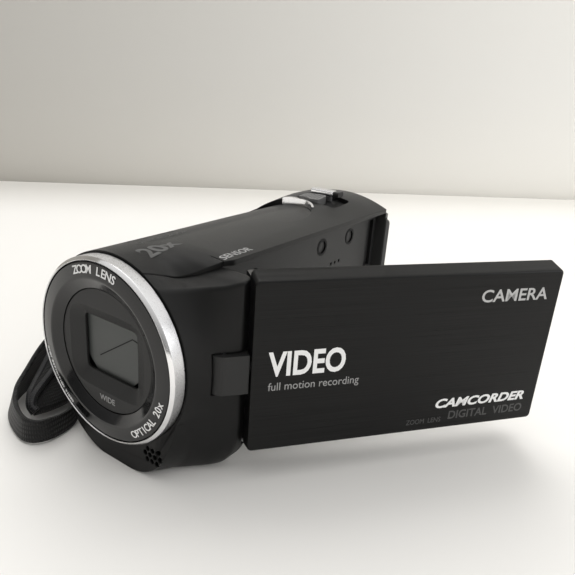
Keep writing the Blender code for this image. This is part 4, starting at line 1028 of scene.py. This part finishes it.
def top_lettering(inks):
    """Faint print on the curved top: flat letters laid on the surface point by point."""
    words = (
        ("top_number", "20x", 4.3, 13.0, 6.0, 0.2, "dim", -0.25),
        ("top_zoom", "OPTICAL ZOOM", -1.5, 19.5, 2.2, 0.0, "dim", 0.0),
        ("top_mode", "STEADY VIDEO", -5.5, 19.5, 2.2, 0.0, "dim", 0.0),
        ("deck_word", "SENSOR", 18.6, 22.0, 2.7, 0.02, "grey", 0.0),
    )
    for name, text, x, depth, size, weight, colour, shear in words:
        item = letters(name, text, size * MM, inks[colour], weight=weight * MM, shear=shear)
        turn = Matrix.Rotation(pi / 2, 4, "Z")
        item.data.transform(Matrix.Translation((x * MM, depth * MM, 0)) @ turn)
        for vertex in item.data.vertices:
            vertex.co.z += above(top_height(vertex.co.x, vertex.co.y)) + 0.02 * MM
            vertex.co.y = along(vertex.co.y)
        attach(item, "camera")


def top_height(x, depth):
    """Height of the top surface over the lens axis at a place right of or left of the middle."""
    v = section_values(depth / MM)
    outline = section_outline(v)
    upper = [(a, b) for a, b in outline[: 31 + 16] if b > 0]
    xs = np.array([a for a, _ in upper])
    zs = np.array([b for _, b in upper])
    order = np.argsort(xs)
    return float(np.interp(x, xs[order], zs[order]))


# ---------------------------------------------------------------- hand strap

# The belt's two edges, in millimetres: x, depth and height of the lower edge, then of the upper one.
BELT_ROUTE = (
    (-24.3, 17.2, -13.0, -24.3, 17.2, 3.0),
    (-22.6, 9.5, -22.0, -24.6, 10.0, -8.0),
    (-17.5, 3.6, -27.1, -19.0, 5.0, -22.0),
    (-15.6, -4.6, -27.1, -16.8, -4.4, -21.8),
    (-18.6, -8.8, -27.1, -19.8, -7.8, -21.4),
    (-26.0, -7.8, -27.1, -25.8, -6.6, -21.0),
    (-33.2, -4.4, -27.1, -31.2, -3.2, -19.6),
    (-38.2, 1.0, -27.1, -34.6, 2.0, -17.5),
    (-41.8, 9.5, -27.0, -37.4, 10.0, -12.5),
    (-43.0, 23.0, -25.0, -40.0, 23.0, -6.5),
    (-42.4, 45.0, -21.0, -40.4, 45.0, 0.5),
    (-38.2, 64.0, -17.0, -37.2, 64.0, 3.5),
    (-31.4, 78.0, -13.5, -31.0, 78.0, 5.0),
    (-24.6, 88.0, -12.0, -24.6, 88.0, 6.0),
)
PAD_ROUTE = (
    (-25.0, -2.6, -25.4, -29.0, -0.8, -21.0),
    (-23.8, 3.0, -25.4, -31.8, 4.2, -18.4),
    (-24.6, 10.5, -25.2, -34.4, 11.0, -13.8),
    (-28.8, 20.0, -24.2, -37.0, 21.0, -9.0),
    (-35.4, 31.0, -22.0, -37.7, 32.0, -5.0),
    (-38.6, 45.0, -19.5, -37.8, 45.0, -2.0),
    (-36.6, 57.0, -17.0, -36.0, 57.0, 0.0),
    (-34.4, 64.0, -15.5, -34.2, 64.0, 1.0),
)
BELT_STEPS = 14
BELT_THICKNESS = 1.4 * MM
PAD_THICKNESS = 3.0 * MM
BINDING_RADIUS = 0.95 * MM


def strip_frames(route):
    """Lower and upper edge, inward direction and distance run at each step along a route."""
    lower = smooth_curve([[x * MM, along(d * MM), above(h * MM)] for x, d, h, *_ in route], BELT_STEPS)
    upper = smooth_curve([[x * MM, along(d * MM), above(h * MM)] for *_, x, d, h in route], BELT_STEPS)
    frames = []
    run = 0.0
    for i in range(len(lower)):
        before, after = max(i - 1, 0), min(i + 1, len(lower) - 1)
        forward = (lower[after] + upper[after]) - (lower[before] + upper[before])
        inward = np.cross(forward, upper[i] - lower[i])
        inward /= np.linalg.norm(inward)
        if i:
            run += float(np.linalg.norm((lower[i] + upper[i]) - (lower[i - 1] + upper[i - 1]))) / 2
        frames.append((lower[i], upper[i], inward, run))
    return frames


def strip(name, frames, profile, finish):
    """A closed strip. The profile is a loop of (share across the width, distance inward) pairs."""
    builder = bmesh.new()
    layer = builder.loops.layers.uv.new("run")
    rows, marks = [], []
    for low, high, inward, run in frames:
        width = float(np.linalg.norm(high - low))
        rows.append(
            [builder.verts.new(low + (high - low) * share + inward * off) for share, off in profile]
        )
        marks.append([(run, share * width) for share, _ in profile])
    count = len(profile)
    for k in range(len(rows) - 1):
        for i in range(count):
            j = (i + 1) % count
            face = builder.faces.new((rows[k][i], rows[k][j], rows[k + 1][j], rows[k + 1][i]))
            for loop, mark in zip(face.loops, (marks[k][i], marks[k][j], marks[k + 1][j], marks[k + 1][i])):
                loop[layer].uv = mark
    builder.faces.new(rows[0])
    builder.faces.new(rows[-1])
    item = make(name, builder, finish)
    item.data.shade_smooth()
    return item


def flat_profile(thickness, across=14, round_share=0.03):
    """A flat strip's section with rounded edges."""
    half = thickness / 2
    shares = np.linspace(round_share, 1 - round_share, across)
    face = [(float(s), -half) for s in shares]
    back = [(float(s), half) for s in shares[::-1]]
    inset = 0.3 * round_share
    far_edge = [(1.0 - inset, -0.6 * half), (1.0, 0.0), (1.0 - inset, 0.6 * half)]
    near_edge = [(inset, 0.6 * half), (0.0, 0.0), (inset, -0.6 * half)]
    return face + far_edge + back + near_edge


def pillow_profile(thickness, offset, low, high, count=40):
    """A stuffed strip's section, flat where it lies on the belt."""
    points = []
    for i in range(count):
        angle = 2 * pi * i / count
        c, s = cos(angle), sin(angle)
        share = (low + high) / 2 + (high - low) / 2 * copysign(abs(c) ** 0.55, c)
        depth = thickness / 2 * copysign(abs(s) ** 0.8, s)
        points.append((share, offset + depth))
    return points


def tube(name, points, radius, finish, count=12):
    """A round cord along points."""
    path = [np.array(p, float) for p in points]
    builder = bmesh.new()
    layer = builder.loops.layers.uv.new("run")
    rows = []
    side = None
    for i, point in enumerate(path):
        forward = path[min(i + 1, len(path) - 1)] - path[max(i - 1, 0)]
        forward /= np.linalg.norm(forward)
        guide = np.array((0.0, 0.0, 1.0)) if side is None else side
        side = guide - forward * np.dot(guide, forward)
        side /= np.linalg.norm(side)
        other = np.cross(forward, side)
        angles = [2 * pi * k / count for k in range(count)]
        rows.append([builder.verts.new(point + radius * (cos(a) * side + sin(a) * other)) for a in angles])
    run = 0.0
    for k in range(len(rows) - 1):
        step = float(np.linalg.norm(path[k + 1] - path[k]))
        for i in range(count):
            j = (i + 1) % count
            face = builder.faces.new((rows[k][i], rows[k][j], rows[k + 1][j], rows[k + 1][i]))
            across = radius * 2 * pi / count
            marks = (
                (run, i * across), (run, (i + 1) * across), (run + step, (i + 1) * across),
                (run + step, i * across)
            )
            for loop, mark in zip(face.loops, marks):
                loop[layer].uv = mark
        run += step
    builder.faces.new(rows[0])
    builder.faces.new(rows[-1])
    item = make(name, builder, finish)
    item.data.shade_smooth()
    return item


def hand_strap(belt_finish, pad_finish, binding_finish):
    """Webbing belt and soft pad with bound edges."""
    frames = strip_frames(BELT_ROUTE)
    belt = strip("hand_belt", frames, flat_profile(BELT_THICKNESS * 0.8), belt_finish)
    take_over("grip_webbing")
    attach(belt, "camera")

    soft = strip_frames(PAD_ROUTE)
    pad = strip("hand_pad", soft, pillow_profile(PAD_THICKNESS * 0.9, 0.0, 0.0, 1.0), pad_finish)
    take_over("grip_pad")
    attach(pad, "camera")
    for name, share, inset in (("pad_binding", 1.0, 0.0), ("pad_roll", 0.74, 1.7 * MM)):
        line = [low + (high - low) * share + inward * inset for low, high, inward, _ in soft]
        head = soft[0]
        start = head[0] + (head[1] - head[0]) * 0.1 + head[2] * inset
        bend = (start + line[0]) / 2 + np.array((0.0, -0.8, -0.3)) * MM
        cord = tube(
            name, smooth_curve([start, bend, line[0]], 6)[:-1] + line, BINDING_RADIUS, binding_finish
        )
        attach(cord, "camera")
    return belt, pad


# ---------------------------------------------------------------- controls


def top_controls(finish, chrome, dark):
    """Ribbed photo button, zoom bar and the bright arc in front of them."""
    outline = pad_rectangle(BUTTON_X, BUTTON_DEPTH, 0.0, 1.0 * MM)
    button = prism("photo_button_skin", outline, above(18.9 * MM), above(SKY), "z", finish)
    cut(button, trim_disc("button_limit", 0.3 * MM))
    keep(button, body_form("button_top", -0.9 * MM))
    ribs = []
    count = 7
    for i in range(count):
        x = BUTTON_X[0] + (i + 1) * (BUTTON_X[1] - BUTTON_X[0]) / (count + 1)
        low = (x - 0.16 * MM, along(BUTTON_DEPTH[0] + 0.6 * MM), above(24.0 * MM))
        ribs.append(box("rib", low, (x + 0.16 * MM, along(BUTTON_DEPTH[1] - 0.6 * MM), above(SKY))))
    grooves = combine(ribs[0], ribs[1:], "UNION")
    cut(grooves, body_form("rib_floor", -0.68 * MM))
    cut(button, grooves)
    smooth(button, 24, weighted=True)
    take_over("photo_button")
    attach(button, "photo_key")

    trim = prism("photo_trim_skin", trim_outline(0.0), above(TRIM_BASE), above(SKY), "z", chrome)
    keep(trim, body_form("trim_top", -0.35 * MM))
    smooth(trim, 24, weighted=True)
    take_over("photo_trim")
    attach(trim, "camera")

    middle = ((LEVER_DEPTH[0] + LEVER_DEPTH[1]) / 2, LEVER_TOP - LEVER_THICKNESS / 2)
    half_depth = (LEVER_DEPTH[1] - LEVER_DEPTH[0]) / 2
    low = (along(middle[0] - half_depth), above(middle[1] - LEVER_THICKNESS / 2))
    high = (along(middle[0] + half_depth), above(middle[1] + LEVER_THICKNESS / 2))
    bar_outline = rounded_rectangle(low, high, 0.55 * MM, 5)
    bar = prism("zoom_lever_skin", bar_outline, LEVER_X[0], LEVER_X[1] - 1.9 * MM, "x", chrome)
    stem_low = (LEVER_X[0] + 1.8 * MM, along(LEVER_DEPTH[0] + 0.5 * MM), above(18.3 * MM))
    stem = box(
        "stem", stem_low, (LEVER_X[1] - 2.2 * MM, along(LEVER_DEPTH[1] - 0.5 * MM), above(middle[1]))
    )
    combine(bar, [stem], "UNION")
    smooth(bar, 24, weighted=True)
    take_over("zoom_lever")
    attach(bar, "zoom_key")
    cap = prism("zoom_lever_end", bar_outline, LEVER_X[1] - 1.85 * MM, LEVER_X[1], "x", dark)
    smooth(cap, 24, weighted=True)
    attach(cap, "zoom_key")


ROUND_BUTTONS = (("play_ring", 60.3, 16.0), ("light_ring", 75.6, 16.2))


def bay_rings(finish):
    """Dark rings round the two small buttons in the screen bay."""
    for name, depth, height in ROUND_BUTTONS:
        place = (along(depth * MM), above(height * MM))
        ring = prism(
            name, circle(place, 2.45 * MM, 40), BAY_FLOOR_X - 0.05 * MM, BAY_FLOOR_X + 0.1 * MM, "x", finish
        )
        cut(ring, prism("ring_hole", circle(place, 1.72 * MM, 40), BAY_FLOOR_X - MM, BAY_FLOOR_X + MM, "x"))
        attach(ring, "camera")


# ---------------------------------------------------------------- stage


WALL_DISTANCE = 0.30
WALL_HEIGHT = 0.80
WALL_HALF_WIDTH = 1.3
WALL_TURN = radians(45)
TABLE_HALF_WIDTH = 1.4
COVE_RADIUS = 0.09
FLOOR_CLEARANCE = 0.0001

# Wall colours at the left and at the right: painted shade and painted light for room light that falls off
# toward the left.
WALL_SHADE = (0.42, 0.405, 0.375, 1.0)
WALL_LIT = (0.86, 0.85, 0.82, 1.0)
SUN_SPREAD = radians(55)
SUN_ENERGY = 2.0
SUN_HEADING = (0.50, -0.42, -0.76)
FILL_SIZE = 0.5
FILL_ENERGY = 1.6
FILL_PLACE = (0.85, 0.25, 0.32)
FILL_TARGET = (0.0, 0.02, 0.02)
SKY_HEADING = (0.05, 0.50, 0.86)
SKY_DIM, SKY_BRIGHT = 0.08, 1.3

# In millimetres, then radians
CAMERA_PLACE = (96.76, -74.78 - 45.0, 61.74 + 27.5)
CAMERA_AZIMUTH = radians(33.5)
CAMERA_ELEVATION = radians(20.46)
CAMERA_ROLL = radians(4.17)
CAMERA_LENS = 36.9


def wall_paint_painted_shade():
    """The table's pale paint, with painted shade: its colour darkens toward the left, standing in for a
    room whose light falls off there.
    """
    made = shader_of("wall_paint_painted_shade", (0.8, 0.79, 0.77), 1.0, specular=0.0)
    tree = made.node_tree
    coordinates = tree.nodes.new("ShaderNodeTexCoord")
    split = tree.nodes.new("ShaderNodeSeparateXYZ")
    # Painted shade: the base colour goes from WALL_SHADE on the left to WALL_LIT on the right.
    fall = tree.nodes.new("ShaderNodeMapRange")
    fall.interpolation_type = "SMOOTHSTEP"
    fall.inputs["From Min"].default_value = -0.35
    fall.inputs["From Max"].default_value = 0.30
    mix = tree.nodes.new("ShaderNodeMix")
    mix.data_type = "RGBA"
    mix.inputs["A"].default_value = WALL_SHADE
    mix.inputs["B"].default_value = WALL_LIT
    tree.links.new(coordinates.outputs["Object"], split.inputs["Vector"])
    tree.links.new(split.outputs["X"], fall.inputs["Value"])
    tree.links.new(fall.outputs["Result"], mix.inputs["Factor"])
    tree.links.new(mix.outputs["Result"], tree.nodes["Principled BSDF"].inputs["Base Color"])
    return made


def studio():
    """Pale table and a wall with painted shade toward its left, a soft sun from behind on the left, a fill
    from the right and a dim room.
    """
    paint = shader_of("table_paint", (0.80, 0.79, 0.77), 1.0, specular=0.0)
    builder = bmesh.new()
    wide = TABLE_HALF_WIDTH
    spots = [(-wide, -wide), (wide, -wide), (wide, wide), (-wide, wide)]
    builder.faces.new([builder.verts.new((x, y, 0.0)) for x, y in spots])
    table = make("table_top", builder, paint)
    builder = bmesh.new()
    radius = COVE_RADIUS
    angles = np.linspace(0.5 * pi, 0.0, 12)
    arc = [(WALL_DISTANCE - radius * cos(a), radius - radius * sin(a)) for a in angles]
    rows = []
    for y, z in arc + [(WALL_DISTANCE, WALL_HEIGHT)]:
        ends = (-WALL_HALF_WIDTH, WALL_HALF_WIDTH)
        rows.append([builder.verts.new((x, y, z + FLOOR_CLEARANCE)) for x in ends])
    for near, far in zip(rows, rows[1:]):
        builder.faces.new((near[0], near[1], far[1], far[0]))
    wall = make("room_wall", builder, wall_paint_painted_shade())
    wall.data.shade_smooth()
    wall.matrix_basis = Matrix.Rotation(WALL_TURN, 4, "Z")
    wall.visible_shadow = False

    data = bpy.data.lights.new("window_light", "SUN")
    data.angle = SUN_SPREAD
    data.energy = SUN_ENERGY
    data.color = (1.0, 0.99, 0.97)
    lamp = bpy.data.objects.new("window_light", data)
    lamp.rotation_euler = Vector(SUN_HEADING).to_track_quat("-Z", "Y").to_euler()
    bpy.context.scene.collection.objects.link(lamp)

    data = bpy.data.lights.new("side_fill", "AREA")
    data.shape = "DISK"
    data.size = FILL_SIZE
    data.energy = FILL_ENERGY
    data.color = (0.98, 0.99, 1.0)
    lamp = bpy.data.objects.new("side_fill", data)
    lamp.location = FILL_PLACE
    lamp.rotation_euler = (Vector(FILL_TARGET) - lamp.location).to_track_quat("-Z", "Y").to_euler()
    bpy.context.scene.collection.objects.link(lamp)

    world = bpy.data.worlds.new("room")
    world.use_nodes = True
    tree = world.node_tree
    background = tree.nodes["Background"]
    coordinates = tree.nodes.new("ShaderNodeTexCoord")
    towards = tree.nodes.new("ShaderNodeVectorMath")
    towards.operation = "DOT_PRODUCT"
    towards.inputs[1].default_value = SKY_HEADING
    level = tree.nodes.new("ShaderNodeMapRange")
    level.inputs["From Min"].default_value = -0.55
    level.inputs["From Max"].default_value = 0.9
    level.inputs["To Min"].default_value = SKY_DIM
    level.inputs["To Max"].default_value = SKY_BRIGHT
    tree.links.new(coordinates.outputs["Generated"], towards.inputs[0])
    tree.links.new(towards.outputs["Value"], level.inputs["Value"])
    tree.links.new(level.outputs["Result"], background.inputs["Strength"])
    background.inputs["Color"].default_value = (1.0, 0.99, 0.97, 1.0)
    bpy.context.scene.world = world
    bpy.context.scene.view_settings.view_transform = "Standard"


def photo_camera():
    """The viewpoint: in front, right of the lens and a little above, rolled slightly."""
    place = Vector(CAMERA_PLACE) * MM
    level = cos(CAMERA_ELEVATION)
    forward = Vector((-sin(CAMERA_AZIMUTH) * level, cos(CAMERA_AZIMUTH) * level, -sin(CAMERA_ELEVATION)))
    rotation = forward.to_track_quat("-Z", "Y").to_matrix() @ Matrix.Rotation(CAMERA_ROLL, 3, "Z")
    data = bpy.data.cameras.new("photo_camera")
    data.sensor_width = 36.0
    data.lens = CAMERA_LENS
    data.clip_start = 0.005
    camera = bpy.data.objects.new("photo_camera", data)
    camera.matrix_world = Matrix.Translation(place) @ rotation.to_4x4()
    bpy.context.scene.collection.objects.link(camera)
    bpy.context.scene.camera = camera


def main():
    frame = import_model()

    satin = satin_shell()
    matt = matt_plastic()
    gloss = gloss_plastic()
    chrome = bright_trim()
    metal = satin_metal()
    blades = shutter_grey()
    glass = dark_glass()
    board = circuit_board()
    inks = {
        "white": ink("ink_white", (0.82, 0.82, 0.82)),
        "silver": ink("ink_silver", (0.45, 0.45, 0.45), 0.3),
        "grey": ink("ink_grey", (0.30, 0.30, 0.30)),
        "dim": ink("ink_dim", (0.05, 0.05, 0.05)),
    }
    black = ink("ink_black", (0.002, 0.002, 0.002), 0.8)
    button_grey = shader_of("button_grey", (0.16, 0.16, 0.16), 0.4, metallic=0.5, edge=0.12 * MM)
    add_grain(button_grey, 3000.0, 0.2, rough_low=0.35, rough_high=0.5)
    webbing = woven_nylon("nylon_webbing", (0.0035, 0.0035, 0.0036), 1.1 * MM, 0.9, 0.5)
    padding = woven_nylon("nylon_mesh", (0.003, 0.003, 0.0031), 0.8 * MM, 0.7, 0.6)
    binding = woven_nylon("nylon_binding", (0.014, 0.014, 0.0155), 0.5 * MM, 0.4, 0.35)

    carried = (
        (matt, (
            "bay_panel", "hinge_block", "multi_selector", "play_button", "light_button",
            "power_button", "card_door", "jack_cover", "start_stop_button", "battery_terminals",
            "battery_pack", "release_latch", "lens_cover_switch", "lens_barrel", "image_sensor",
            "shutter_carrier",
        )),
        (gloss, ("lcd_frame",)),
        (blades, ("shutter_lower", "shutter_upper")),
        (glass, ("front_element", "zoom_group", "focus_group", "rear_element", "lcd_screen")),
        (metal, (
            "zoom_motor", "focus_motor", "microphone", "tilt_shaft", "hinge_pin", "lcd_module",
            "speaker", "card_socket", "jack_socket", "tripod_nut", "base_screw_1", "base_screw_2",
            "front_lug", "rear_lug",
        )),
        (board, ("sensor_board", "main_board", "key_board")),
    )
    for finish, names in carried:
        for name in names:
            node = frame["nodes"][name]
            node.data.materials.clear()
            node.data.materials.append(finish)

    # Rear cover colour: partly the cover's own lighter grey plastic, partly painted light, raised for the
    # room light that its front face catches.
    grey = shader_of("rear_grey_and_painted_light", (0.045, 0.045, 0.044), 0.5, specular=0.4, edge=0.3 * MM)
    add_grain(grey, 4200.0, 0.3, rough_low=0.44, rough_high=0.58)
    casing(satin, matt, grey)
    lens_trim(chrome, metal, gloss, matt)
    shutter_face(blades, black)
    screen_cover(brushed_panel())
    panel_lettering(inks)
    front_lettering(inks)
    top_lettering(inks)
    top_controls(button_grey, chrome, matt)
    bay_rings(black)
    hand_strap(webbing, padding, binding)
    studio()
    photo_camera()


main()
